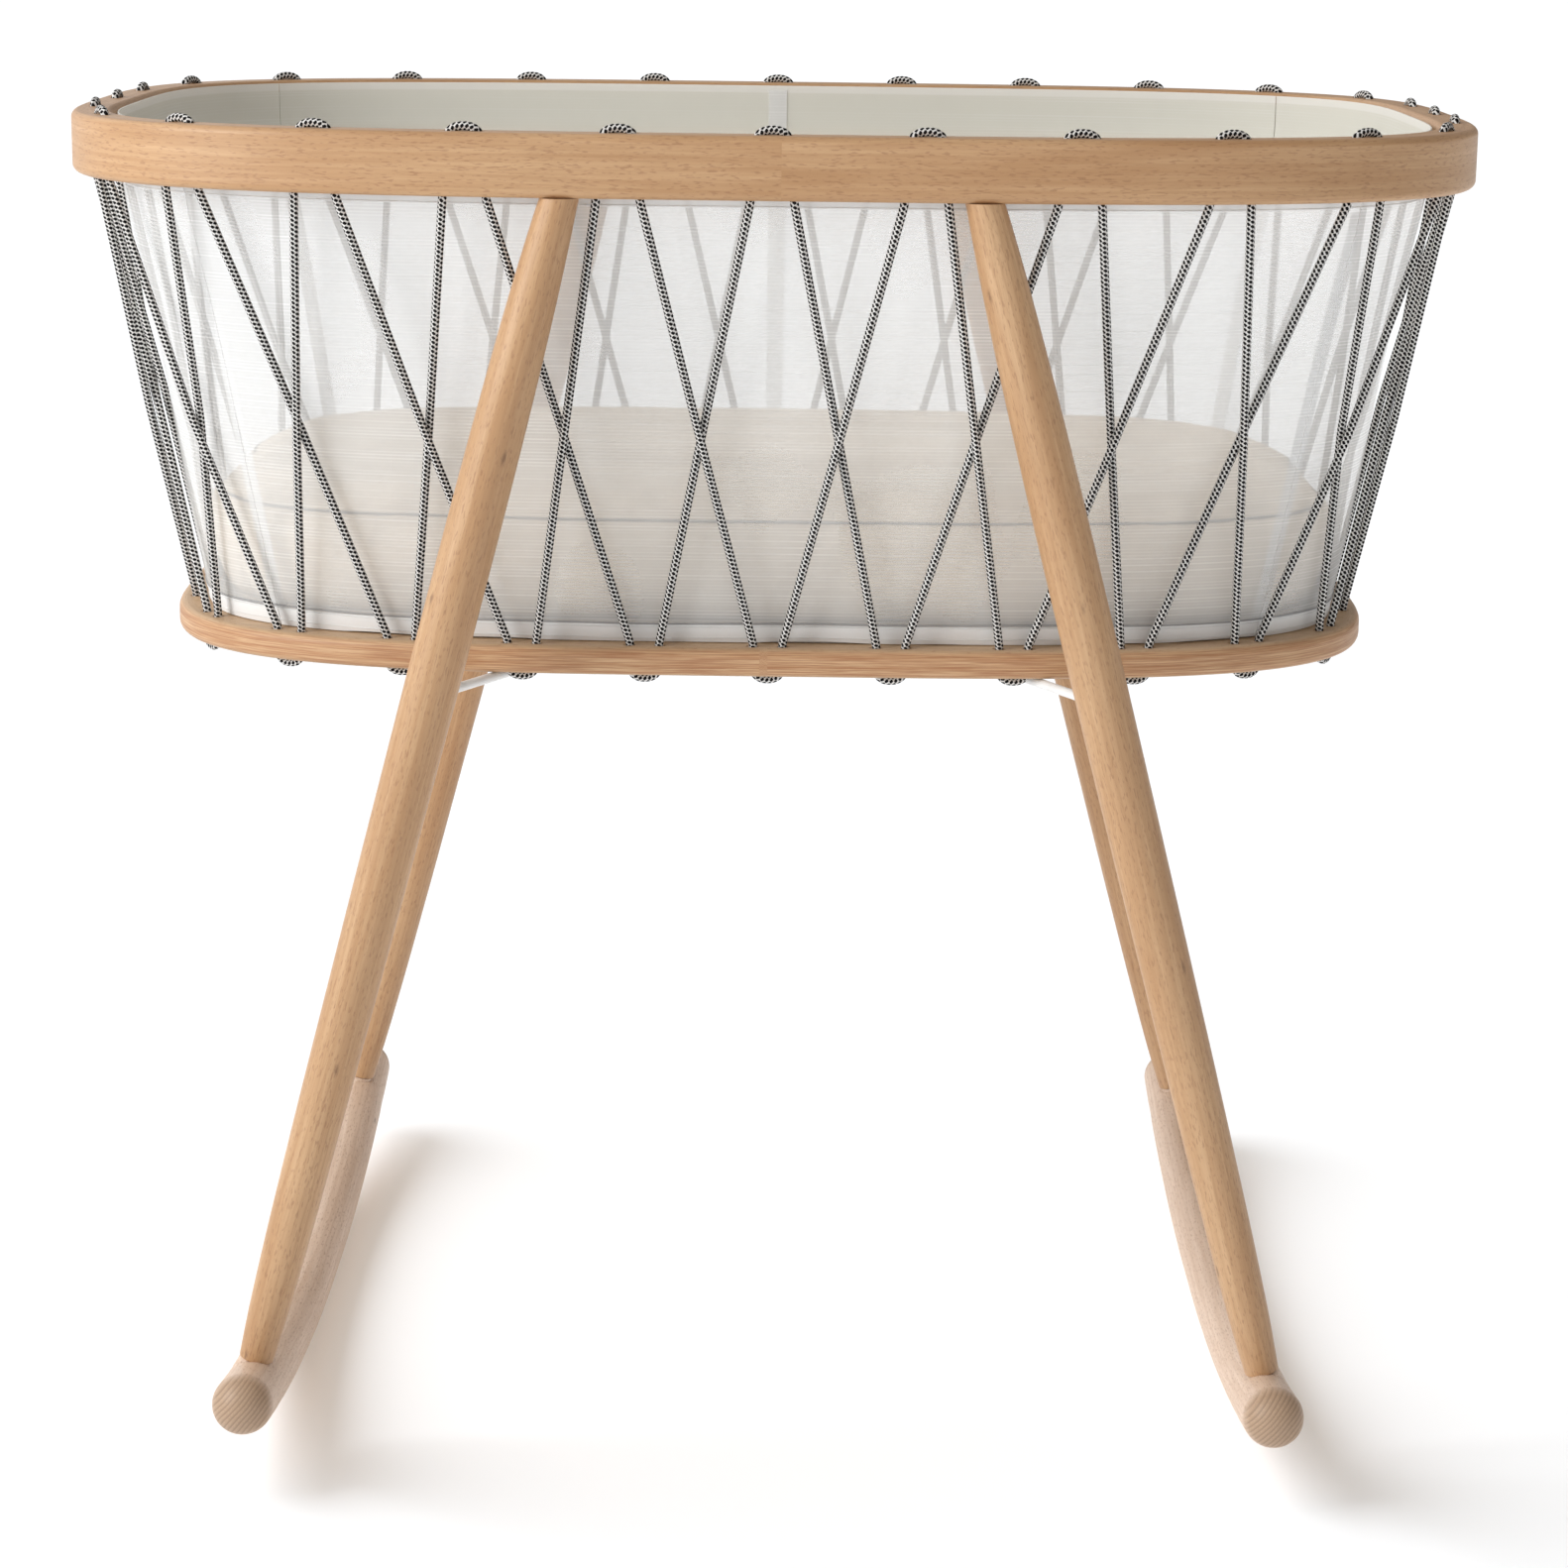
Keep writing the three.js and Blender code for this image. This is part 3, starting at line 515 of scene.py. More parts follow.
LIGHT, DARK, FLECK = (0.62, 0.395, 0.220), (0.50, 0.285, 0.140), (0.27, 0.12, 0.055)
PALE, PALE_D = (0.81, 0.64, 0.515), (0.71, 0.535, 0.41)
M_RIM = wood("beech_rim", (0.59, 0.365, 0.195), (0.475, 0.265, 0.125), FLECK, (0.3, 0.02, 0.011), knots=0.03, pith=(-0.07, 0.74))
M_PLY = wood("ply_base", (0.60, 0.42, 0.26), (0.50, 0.33, 0.19), FLECK, (0.1, 0.4, 0.0), ply=True, rough=0.5)
M_SLEEVE = None


def metal(name, color, rough, scale=900.0):
    n = Nodes(name)
    p = n.place()
    a = n.noise(n.vec("MULTIPLY", p, (scale, scale, scale)), 1.0, 3.0, 0.6)
    b = n.noise(n.vec("MULTIPLY", p, (90.0, 90.0, 90.0)), 1.0, 2.0)
    col = n.mix(n.ramp(b, [(0.35, 0.0), (0.7, 1.0)]), color, tuple(0.84 * c for c in color))
    return n.finish(col, n.math("ADD", n.math("MULTIPLY", a, 0.2), rough - 0.1), n.bump(a, 0.12, 0.0001), Metallic=1.0)


M_STEEL = metal("zinc_steel", (0.60, 0.61, 0.62), 0.34)
M_BRASS = metal("brass", (0.72, 0.53, 0.24), 0.32)


def powder():
    n = Nodes("white_powder_coat")
    p = n.place()
    a = n.noise(n.vec("MULTIPLY", p, (2600.0, 2600.0, 2600.0)), 1.0, 2.0, 0.5)
    b = n.noise(n.vec("MULTIPLY", p, (60.0, 60.0, 60.0)), 1.0, 2.0)
    col = n.mix(n.ramp(b, [(0.3, 0.0), (0.7, 1.0)]), (0.86, 0.86, 0.85), (0.80, 0.80, 0.79))
    return n.finish(col, n.math("ADD", n.math("MULTIPLY", a, 0.15), 0.32), n.bump(a, 0.18, 0.00012))


M_WHITE = powder()


def braid():
    """Braided cord in a black and white houndstooth: u runs along it in metres, v counts columns round it."""
    n = Nodes("houndstooth_braid")
    g = n.grain()
    x, y, _ = n.split(g)
    pitch = 0.0029
    odd = n.math("MODULO", n.math("FLOOR", y), 2.0)
    u = n.math("ADD", n.math("MULTIPLY", x, 1 / pitch), n.math("MULTIPLY", odd, 0.5))
    fu = n.math("SUBTRACT", n.math("FRACT", u), 0.5)
    fv = n.math("SUBTRACT", n.math("FRACT", y), 0.5)
    lean_u = n.math("ADD", fu, n.math("MULTIPLY", fv, 0.22))
    d = n.math("ADD", n.math("MULTIPLY", n.math("ABSOLUTE", lean_u), 1.0), n.math("MULTIPLY", n.math("ABSOLUTE", fv), 0.62))
    tooth = n.ramp(d, [(0.40, 1.0), (0.46, 0.0)])
    yarn = n.noise(n.vec("MULTIPLY", g, (2400.0, 1.2, 0.0)), 1.0, 2.0)
    white = n.mix(n.ramp(yarn, [(0.35, 0.0), (0.65, 1.0)]), (0.82, 0.81, 0.79), (0.66, 0.645, 0.625))
    black = n.mix(n.ramp(yarn, [(0.35, 0.0), (0.65, 1.0)]), (0.006, 0.0055, 0.006), (0.016, 0.014, 0.015))
    col = n.mix(tooth, white, black)
    # yarn lumps: each stitch stands up in its middle
    lump_u = n.math("COSINE", n.math("MULTIPLY", fu, 2 * math.pi))
    lump_v = n.math("COSINE", n.math("MULTIPLY", fv, 2 * math.pi))
    lump = n.math("ADD", n.math("MULTIPLY", lump_u, 0.5), n.math("MULTIPLY", lump_v, 0.6))
    fine = n.noise(n.vec("MULTIPLY", n.place(), (3800.0, 3800.0, 3800.0)), 1.0, 2.0)
    h = n.math("ADD", lump, n.math("MULTIPLY", fine, 0.5))
    n.b.inputs["Specular IOR Level"].default_value = 0.12
    return n.finish(col, 0.95, n.bump(h, 0.6, 0.0003))


M_CORD = braid()


def cotton(name, color, shade, weave=0.0007, strength=0.35, sheen=0.2):
    n = Nodes(name)
    p = n.place()
    wx = n.new("ShaderNodeTexWave", wave_type="BANDS", bands_direction="X", wave_profile="SIN")
    wy = n.new("ShaderNodeTexWave", wave_type="BANDS", bands_direction="Y", wave_profile="SIN")
    wz = n.new("ShaderNodeTexWave", wave_type="BANDS", bands_direction="Z", wave_profile="SIN")
    for w in (wx, wy, wz):
        n.link(p, w.inputs["Vector"])
        w.inputs["Scale"].default_value = 0.314 / weave
        w.inputs["Distortion"].default_value = 0.6
        w.inputs["Detail"].default_value = 1.0
    slub = n.noise(n.vec("MULTIPLY", p, (60.0, 500.0, 500.0)), 1.0, 3.0, 0.6)
    mott = n.noise(n.vec("MULTIPLY", p, (16.0, 16.0, 16.0)), 1.0, 3.0, 0.55)
    thread = n.math("MULTIPLY", n.math("ADD", wx.outputs["Fac"], wy.outputs["Fac"]), wz.outputs["Fac"])
    col = n.mix(n.ramp(mott, [(0.3, 0.0), (0.7, 1.0)]), color, shade)
    col = n.mix(n.math("MULTIPLY", n.ramp(slub, [(0.45, 0.0), (0.7, 1.0)]), 0.22), col, tuple(0.86 * c for c in color))
    col = n.mix(n.math("MULTIPLY", thread, 0.12), col, tuple(0.8 * c for c in shade))
    h = n.math("ADD", thread, n.math("MULTIPLY", slub, 0.8))
    n.b.inputs["Sheen Weight"].default_value = sheen
    n.b.inputs["Sheen Roughness"].default_value = 0.6
    return n.finish(col, 0.92, n.bump(h, strength, 0.0003))


M_MATTRESS = cotton("cream_cotton", (0.88, 0.77, 0.635), (0.82, 0.70, 0.565))
# the piping's dark grey colour is painted shade: it draws the thin shade line along each mattress seam
M_PIPING_SEAM_SHADE = cotton("piping_painted_seam_shade", (0.36, 0.33, 0.30), (0.28, 0.26, 0.235), weave=0.0011, strength=0.5)
M_TAPE = cotton("hook_tape", (0.74, 0.73, 0.65), (0.66, 0.65, 0.58), weave=0.0018, strength=0.9)
M_BIND = cotton("white_binding", (0.84, 0.84, 0.83), (0.78, 0.78, 0.77), weave=0.0009, strength=0.5)
M_THREAD = cotton("grey_thread", (0.36, 0.36, 0.37), (0.28, 0.28, 0.29), weave=0.0009, strength=0.3)

FOOT_BAND, HEM_LINE = 527.0, 795.0


def mesh_cloth(name="mesh_cloth", open_alpha=0.27, line_alpha=0.12, bands=True):
    """See-through woven mesh: thin weft lines across, open between them, with closed bands at its hem and its foot."""
    n = Nodes(name)
    p = n.place()
    x, y, z = n.split(p)
    # weft lines, a few of them heavier and in patches, like a slubby voile
    zl = n.math("ADD", z, n.math("MULTIPLY", n.noise(n.vec("MULTIPLY", p, (2.0, 2.0, 8.0)), 1.0, 1.0), 0.0012))
    saw = n.math("ABSOLUTE", n.math("SUBTRACT", n.math("FRACT", n.math("MULTIPLY", zl, 1 / 0.0021)), 0.5))
    line = n.ramp(saw, [(0.0, 1.0), (0.16, 0.75), (0.30, 0.0)])
    heavy = n.noise(n.join(n.math("MULTIPLY", x, 5.0), n.math("MULTIPLY", y, 5.0), n.math("MULTIPLY", zl, 476.0)), 1.0, 0.0)
    where = n.noise(n.vec("MULTIPLY", p, (9.0, 9.0, 6.0)), 1.0, 2.0)
    heavy = n.math("MULTIPLY", n.ramp(heavy, [(0.42, 0.15), (0.70, 1.0)]), n.ramp(where, [(0.36, 0.35), (0.62, 1.0)]))
    weft = n.math("MULTIPLY", line, heavy)
    a_mesh = n.math("ADD", open_alpha, n.math("MULTIPLY", weft, line_alpha))
    a_mesh = n.math("ADD", a_mesh, n.math("MULTIPLY", n.math("SUBTRACT", where, 0.5), 0.05))
    alpha = a_mesh
    if bands:
        foot = n.ramp(n.math("MULTIPLY", n.math("SUBTRACT", z, (FOOT_BAND - 0.5) * MM), 1 / 0.0012), [(0.0, 1.0), (1.0, 0.0)])
        hem = n.ramp(n.math("MULTIPLY", n.math("SUBTRACT", z, (HEM_LINE - 6.5) * MM), 1 / 0.0015), [(0.0, 0.0), (1.0, 1.0)])
        alpha = n.math("MAXIMUM", a_mesh, n.math("MULTIPLY", foot, 0.88))
        alpha = n.math("MAXIMUM", alpha, n.math("MULTIPLY", hem, 0.62))
    weave = n.noise(n.vec("MULTIPLY", p, (900.0, 900.0, 1500.0)), 1.0, 2.0)
    mott = n.noise(n.vec("MULTIPLY", p, (10.0, 10.0, 6.0)), 1.0, 2.0)
    col = n.mix(n.ramp(mott, [(0.3, 0.0), (0.7, 1.0)]), (0.94, 0.94, 0.935), (0.90, 0.90, 0.895))
    if bands:
        # the hem band is tinted darker green-cream: partly the tape and wood seen behind it, partly painted shade
        hem_tint_shade = n.ramp(n.math("MULTIPLY", n.math("SUBTRACT", z, 0.794), 1 / 0.003), [(0.0, 0.0), (1.0, 1.0)])
        lip = n.ramp(n.math("MULTIPLY", n.math("SUBTRACT", z, 0.8265), 1 / 0.0012), [(0.0, 0.0), (1.0, 1.0)])
        col = n.mix(hem_tint_shade, col, (0.84, 0.83, 0.755))
        col = n.mix(lip, col, (0.93, 0.93, 0.885))
    col = n.mix(n.math("MULTIPLY", weft, 0.35), col, (0.97, 0.97, 0.97))
    col = n.mix(n.math("MULTIPLY", weave, 0.06), col, (0.76, 0.76, 0.75))
    n.link(alpha, n.b.inputs["Alpha"])
    n.b.inputs["Specular IOR Level"].default_value = 0.1
    return n.finish(col, 0.9, n.bump(line, 0.12, 0.0001))


M_MESH = mesh_cloth()
M_SEAM = mesh_cloth("mesh_seam", 0.45, 0.10, bands=False)


def paint(ob, *mats):
    ob.data.materials.clear()
    for m in mats:
        ob.data.materials.append(m)
    return ob


def stand_for(ob, slot, *nodes, body="frame"):
    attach(ob, body)
    if nodes:
        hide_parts(*nodes)
    return ob


# ------------------------------------------------------------------------ rim
def rounded_section(h, z0, z1, r, steps=6):
    """Corner-rounded rectangle (offset, z), counter-clockwise from the bottom inner corner."""
    pts = []
    for cx, cz, a0 in ((h - r, z0 + r, -90), (h - r, z1 - r, 0), (-h + r, z1 - r, 90), (-h + r, z0 + r, 180)):
        for k in range(steps + 1):
            a = math.radians(a0 + 90 * k / steps)
            pts.append((cx + r * math.cos(a), cz + r * math.sin(a)))
    return pts


def lean(line, index, e, z0, h0, z1, h1):
    """Axis of a lacing hole: half spacing h0 at height z0 and h1 at height z1."""
    a, b = line.at(line.P * index / LACES + e * h0)[0], line.at(line.P * index / LACES + e * h1)[0]

    def on(z):
        k = (z - z0) / (z1 - z0)
        return np.array([a[0] + (b[0] - a[0]) * k, a[1] + (b[1] - a[1]) * k, z])
    return on


RIM_LEAN = (RIM_BOT, RIM_PAIR, RIM_TOP, RIM_PAIR_TOP)
BASE_LEAN = (BASE_TOP, BASE_PAIR, BASE_BOT, BASE_PAIR_LOW)


def hole_tool(on, z0, z1, r=HOLE_R, flare=1.0):
    a, b = on(z0), on(z1)
    L = np.linalg.norm(b - a)
    return lathe("h", [(r + flare + 3, -3), (r + flare, 0), (r + 0.35 * flare, 0.45 * flare), (r, 1.4 * flare), (r, L - 1.4 * flare),
                       (r + 0.35 * flare, L - 0.45 * flare), (r + flare, L), (r + flare + 3, L + 3)], 20, a, b - a)


def leg_axis(sx, sy):
    top, foot = LEG_TOP * (sx, sy, 1), LEG_FOOT * (sx, sy, 1)
    d = foot - top
    L = np.linalg.norm(d)
    return top, foot, d / L, L


def build_rim():
    N = 480
    sec = rounded_section(RIM_T / 2, RIM_BOT, RIM_TOP, 4.6)
    p, t, n = RIM.at(RIM.P * np.arange(N) / N)
    rings = np.stack([np.concatenate([p + n * o, np.full((N, 1), z)], 1) for o, z in sec], 1)
    ob = loft("bent_rim", rings, close=True)
    tools = []
    for k in range(LACES):
        for e in (-1, 1):
            tools.append(hole_tool(lean(RIM, k, e, *RIM_LEAN), RIM_BOT, RIM_TOP))
    for _, sx, sy in CORNERS:
        top, foot, d, L = leg_axis(sx, sy)
        tools.append(lathe("s", [(6.6, -25), (6.6, 16)], 24, top, d))
    cut(ob, tools)
    sharpen(ob, 34)
    grain_by_place(ob, outline_places(RIM), RIM.P * MM)
    paint(ob, M_RIM)
    stand_for(ob, "beech", "top_rim")


def build_base():
    N = 420
    p, t, n = BASE.at(BASE.P * np.arange(N) / N)
    m, r = BASE_MARGIN, 5.5
    rows = [(-40.0, BASE_BOT), (m - r - 4, BASE_BOT)]
    for k in range(7):
        a = math.radians(-90 + 15 * k)
        rows.append((m - r + r * math.cos(a), BASE_BOT + r + r * math.sin(a)))
    for k in range(7):
        a = math.radians(15 * k)
        rows.append((m - r + r * math.cos(a), BASE_TOP - r + r * math.sin(a)))
    rows += [(m - r - 4, BASE_TOP), (-40.0, BASE_TOP)]
    rings = [np.concatenate([p + n * o, np.full((N, 1), z)], 1) for o, z in rows]
    ob = loft("hung_base", rings)
    tools = []
    for k in range(LACES):
        for e in (-1, 1):
            tools.append(hole_tool(lean(BASE, k, e, *BASE_LEAN), BASE_BOT, BASE_TOP))
    for sx in (-1, 1):
        for sy in (-1, 1):
            tools.append(lathe("s", [(2.3, -4), (2.3, 13)], 16, (sx * (BRACKET_X - 14), sy * TAB_Y, BASE_BOT), (0, 0, 1)))
    cut(ob, tools)
    sharpen(ob, 34)
    near = outline_places(BASE)

    def place(q):
        c = near(q)
        edge = c[:, 1] > BASE_MARGIN - 6.5
        return np.where(edge[:, None], c, np.stack([q[:, 0], q[:, 1], q[:, 2]], 1))
    grain_by_place(ob, place)
    paint(ob, M_PLY)
    stand_for(ob, "plywood", "base_plate")


# ------------------------------------------------------------ legs and rockers
def bracket_path(sx):
    pts = []
    for sy in (-1, 1):
        top, foot, d, L = leg_axis(sx, sy)
        p = top + d * ((RIM_BOT - BRACKET_Z) / -d[2])
        cross = np.array([sx * 170.5, sy * BASE_B])
        dx, dy = cross[0] - p[0], cross[1] - p[1]
        k = (sx * (BRACKET_X + 20) - p[0]) / dx
        bend = np.array([p[0] + k * dx, p[1] + k * dy, BRACKET_Z])
        run = np.array([sx * BRACKET_X, bend[1] - sy * 22, BRACKET_Z])
        row = [np.array([p[0], p[1], BRACKET_Z]), bend, np.array([sx * (BRACKET_X + 4), bend[1] - sy * 10, BRACKET_Z]), run]
        pts += row if sy < 0 else row[::-1]
    return np.array(pts)


def build_leg(name, sx, sy, seed):
    top, foot, d, L = leg_axis(sx, sy)
    S, K = 56, 96
    u = np.linspace(0.0, 1.0, K) ** 1.0
    u = np.concatenate([[-0.012], u])
    rad = hermite(u, LEG_PROFILE[:, 0], LEG_PROFILE[:, 1]) / 2
    ref = np.array([0, 1.0, 0])
    a1 = ref - d * (ref @ d)
    a1 /= np.linalg.norm(a1)
    a2 = np.cross(d, a1)
    ang = 2 * math.pi * np.arange(S) / S
    circ = a1 * np.cos(ang)[:, None] + a2 * np.sin(ang)[:, None]
    zcap = RIM_BOT - 0.06
    rings, co = [], []

    def add(r, dist, flat=False, lid=None):
        p = top + d * dist + circ * r
        if flat:
            p = p + d * ((p[:, 2:3] - zcap) / -d[2])
        if lid is not None:
            p = np.where((p[:, 2:3] > lid), p + d * ((p[:, 2:3] - lid) / -d[2]), p)
        rings.append(p)
        along = (p - top) @ d
        co.append(np.stack([along, (p - top) @ a1, (p - top) @ a2], 1) * MM)
    # bore for the hanger bolt, the sawn top, the turned length, the foot and its bore
    add(4.2, 26)
    add(4.2, 8)
    add(4.2, 0, True)
    add(rad[0] * 0.55, 0, True)
    add(rad[1] - 0.12, 0, True)
    add(rad[1] - 0.02, 0.5, lid=zcap - 0.12)
    for uu, rr in zip(u[2:], rad[2:]):
        dist = uu * L
        if dist < 4 or dist > L - 1.2:
            continue
        add(rr, dist)
    add(rad[-1], L - 0.9)
    add(rad[-1] - 0.1, L - 0.3)
    add(rad[-1] - 0.5, L)
    add(4.2, L)
    add(4.2, L - 15)
    add(4.2, L - 30)
    ob = loft(name + "_leg_turned", rings, np.array(co))
    path = bracket_path(sx)
    a, b = (path[0], path[1]) if sy < 0 else (path[-1], path[-2])
    e = (b - a) / np.linalg.norm(b - a)
    mat = wood("beech_" + name, LIGHT, DARK, FLECK, seed, knots=0.16, pith=(0.02 + 0.01 * sx, 0.045))
    paint(ob, mat)
    # the bracket's rod goes into the leg's side
    tool = lathe("side_tool", [(3.3, -1.5), (3.3, 32)], 20, a, e)
    mod = ob.modifiers.new("cut", "BOOLEAN")
    mod.operation, mod.solver, mod.object = "DIFFERENCE", "EXACT", tool
    freeze(ob)
    bpy.data.objects.remove(tool)
    sharpen(ob, 38, True)

    def place(q):
        w = q - top
        return np.stack([w @ d, w @ a1, w @ a2], 1)
    grain_by_place(ob, place)
    stand_for(ob, "beech", name + "_leg")


_y = np.linspace(-ROCKER_HALF, ROCKER_HALF, 150)
ROCKER_ARC = 0.0


def rocker_z(y):
    a = np.maximum(0, np.abs(y) - ROCKER_FLAT) / (ROCKER_HALF - ROCKER_FLAT)
    return ROCKER_R + ROCKER_RISE * a * a


ROCKER_ARC = 0.5 * float(np.hypot(np.diff(_y), np.diff(rocker_z(_y))).sum())


def build_rocker(side, sx, seed):
    ys = np.linspace(-ROCKER_HALF, ROCKER_HALF, 150)
    path = np.stack([np.full_like(ys, sx * ROCKER_X), ys, rocker_z(ys)], 1)
    tan = path[-1] - path[-2]
    tan /= np.linalg.norm(tan)
    tips = []
    for a in np.radians([12, 24, 36, 48, 59, 69, 77, 83, 87.5]):
        tips.append((ROCKER_R * math.sin(a), ROCKER_R * math.cos(a)))
    hi = np.array([path[-1] + tan * d for d, _ in tips])
    lo = hi * (1, -1, 1)
    full = np.concatenate([lo[::-1], path, hi])
    rad = np.concatenate([[r for _, r in tips][::-1], np.full(len(path), ROCKER_R), [r for _, r in tips]])
    rings, s, a, r = tube_rings(full, rad, 64, ref=(1, 0, 0))
    rod = loft("rod", rings)
    # a boss flares out of the rod up to each leg's foot
    parts = [rod]
    seats = []
    for sy in (-1, 1):
        top, foot, d, L = leg_axis(sx, sy)
        seats.append((foot, d))
        prof = [(10.4, 0.3), (10.95, 0.75), (11.15, 1.6), (11.35, 5), (11.8, 8.5), (12.7, 12), (14.2, 15.5), (16.0, 19.0), (17.0, 24.0), (16.0, 30.0)]
        parts.append(lathe("boss", prof, 56, foot, d))
    ob = join_objects(side + "_rocker_bent", parts)
    rm = ob.modifiers.new("r", "REMESH")
    rm.mode, rm.voxel_size = "VOXEL", 0.0013
    freeze(ob)
    # smooth the fillet where boss and rod meet, and keep the rod and the seat true
    p = points_of(ob)
    bm = bmesh.new()
    bm.from_mesh(ob.data)
    bm.verts.ensure_lookup_table()
    e = np.array([(q.verts[0].index, q.verts[1].index) for q in bm.edges])
    bm.free()
    n = len(p)
    deg = np.bincount(e.ravel(), minlength=n)[:, None]
    w = np.zeros(n)
    for foot, d in seats:
        rel = p - foot
        along = rel @ d
        off = np.linalg.norm(rel - along[:, None] * d, axis=1)
        w = np.maximum(w, np.clip((along - 2.2) / 3.0, 0, 1) * np.clip((27 - off) / 7.0, 0, 1) * np.clip((36 - along) / 6, 0, 1))
    for _ in range(26):
        acc = np.zeros_like(p)
        np.add.at(acc, e[:, 0], p[e[:, 1]])
        np.add.at(acc, e[:, 1], p[e[:, 0]])
        p = p + (acc / deg - p) * (0.55 * w[:, None] + 0.12 * (w[:, None] < 0.01))
    # the plain rod back on its true radius
    cl = np.concatenate([path])
    tree = KDTree(len(cl))
    for k, q in enumerate(cl):
        tree.insert(q, k)
    tree.balance()
    idx = np.array([tree.find(q)[1] for q in p])
    tdir = np.gradient(cl, axis=0)
    tdir /= np.linalg.norm(tdir, axis=1, keepdims=True)
    rel = p - cl[idx]
    al = (rel * tdir[idx]).sum(1)
    inner = (idx > 0) & (idx < len(cl) - 1)
    al_c = np.where(inner, al, 0.0)
    foot_pt = cl[idx] + tdir[idx] * al_c[:, None]
    rr = p - foot_pt
    rn = np.linalg.norm(rr, axis=1, keepdims=True)
    snap = (w < 0.01) & (np.abs(rn[:, 0] - ROCKER_R) < 1.2)
    p = np.where(snap[:, None], foot_pt + rr / rn * ROCKER_R, p)
    for foot, d in seats:
        rel2 = p - foot
        along = rel2 @ d
        off = np.linalg.norm(rel2 - along[:, None] * d, axis=1)
        seat = (off < 10.6) & (along < 1.3) & (along > -1.0)
        p = np.where(seat[:, None], p + d * (0.32 - along)[:, None], p)
    set_points(ob, p)
    tools = []
    for foot, d in seats:
        tools.append(lathe("b", [(4.25, -8), (4.25, 21)], 20, foot, d))
    cut(ob, tools)
    sharpen(ob, 40, False)

    def place(q):
        k = np.array([tree.find(v)[1] for v in q])
        w_ = q - cl[k]
        inn = (k > 0) & (k < len(cl) - 1)
        al_ = (w_ * tdir[k]).sum(1)
        nn = np.cross(tdir[k], np.array([1.0, 0, 0]))
        s_ = np.concatenate([[0], np.cumsum(np.linalg.norm(np.diff(cl, axis=0), axis=1))])[k] + al_
        return np.stack([s_, w_[:, 0], (w_ * nn).sum(1)], 1)
    grain_by_place(ob, place)
    mat = wood("beech_" + side + "_rocker", PALE, PALE_D, (0.36, 0.18, 0.09), seed, knots=0.05, pith=(0.06, 0.10), rough=0.5, ends=ROCKER_ARC * MM)
    paint(ob, mat)
    stand_for(ob, "beech_pale", side + "_rocker")


# ---------------------------------------------------------------------- lacing
def hole_at(line, s, z):
    p, _, _ = line.at(s)
    return np.array([p[0], p[1], z])


def crossing(k):
    a0, a1 = hole_at(RIM, k * RP + RIM_PAIR, RIM_BOT - 1), hole_at(BASE, (k + 1) * BP - BASE_PAIR, BASE_TOP + 1)
    b0, b1 = hole_at(RIM, (k + 1) * RP - RIM_PAIR, RIM_BOT - 1), hole_at(BASE, k * BP + BASE_PAIR, BASE_TOP + 1)
    u, w, r = a1 - a0, b1 - b0, a0 - b0
    uu, uw, ww, ur, wr = u @ u, u @ w, w @ w, u @ r, w @ r
    den = uu * ww - uw * uw
    s, t = (uw * wr - ww * ur) / den, (uu * wr - uw * ur) / den
    mid = (a0 + u * s + b0 + w * t) / 2
    n = np.cross(u, w)
    n /= np.linalg.norm(n)
    o = RIM.at((k + 0.5) * RP)[2]
    if n[0] * o[0] + n[1] * o[1] < 0:
        n = -n
    return mid, n


def stitch(line, index, leaning, half, z, up, height=2.9):
    """A soft arch from one hole over to the next."""
    pts = [lean(line, index, -1, *leaning)(z - up * 1.6)]
    for a in np.linspace(-1, 1, 13):
        q = line.at(index * line.P / LACES + a * (half - 0.15))[0]
        pts.append(np.array([q[0], q[1], z + up * height * (1 - abs(a) ** 2.6)]))
    pts.append(lean(line, index, 1, *leaning)(z - up * 1.6))
    return pts


SLEEVE_DROP = 4.8


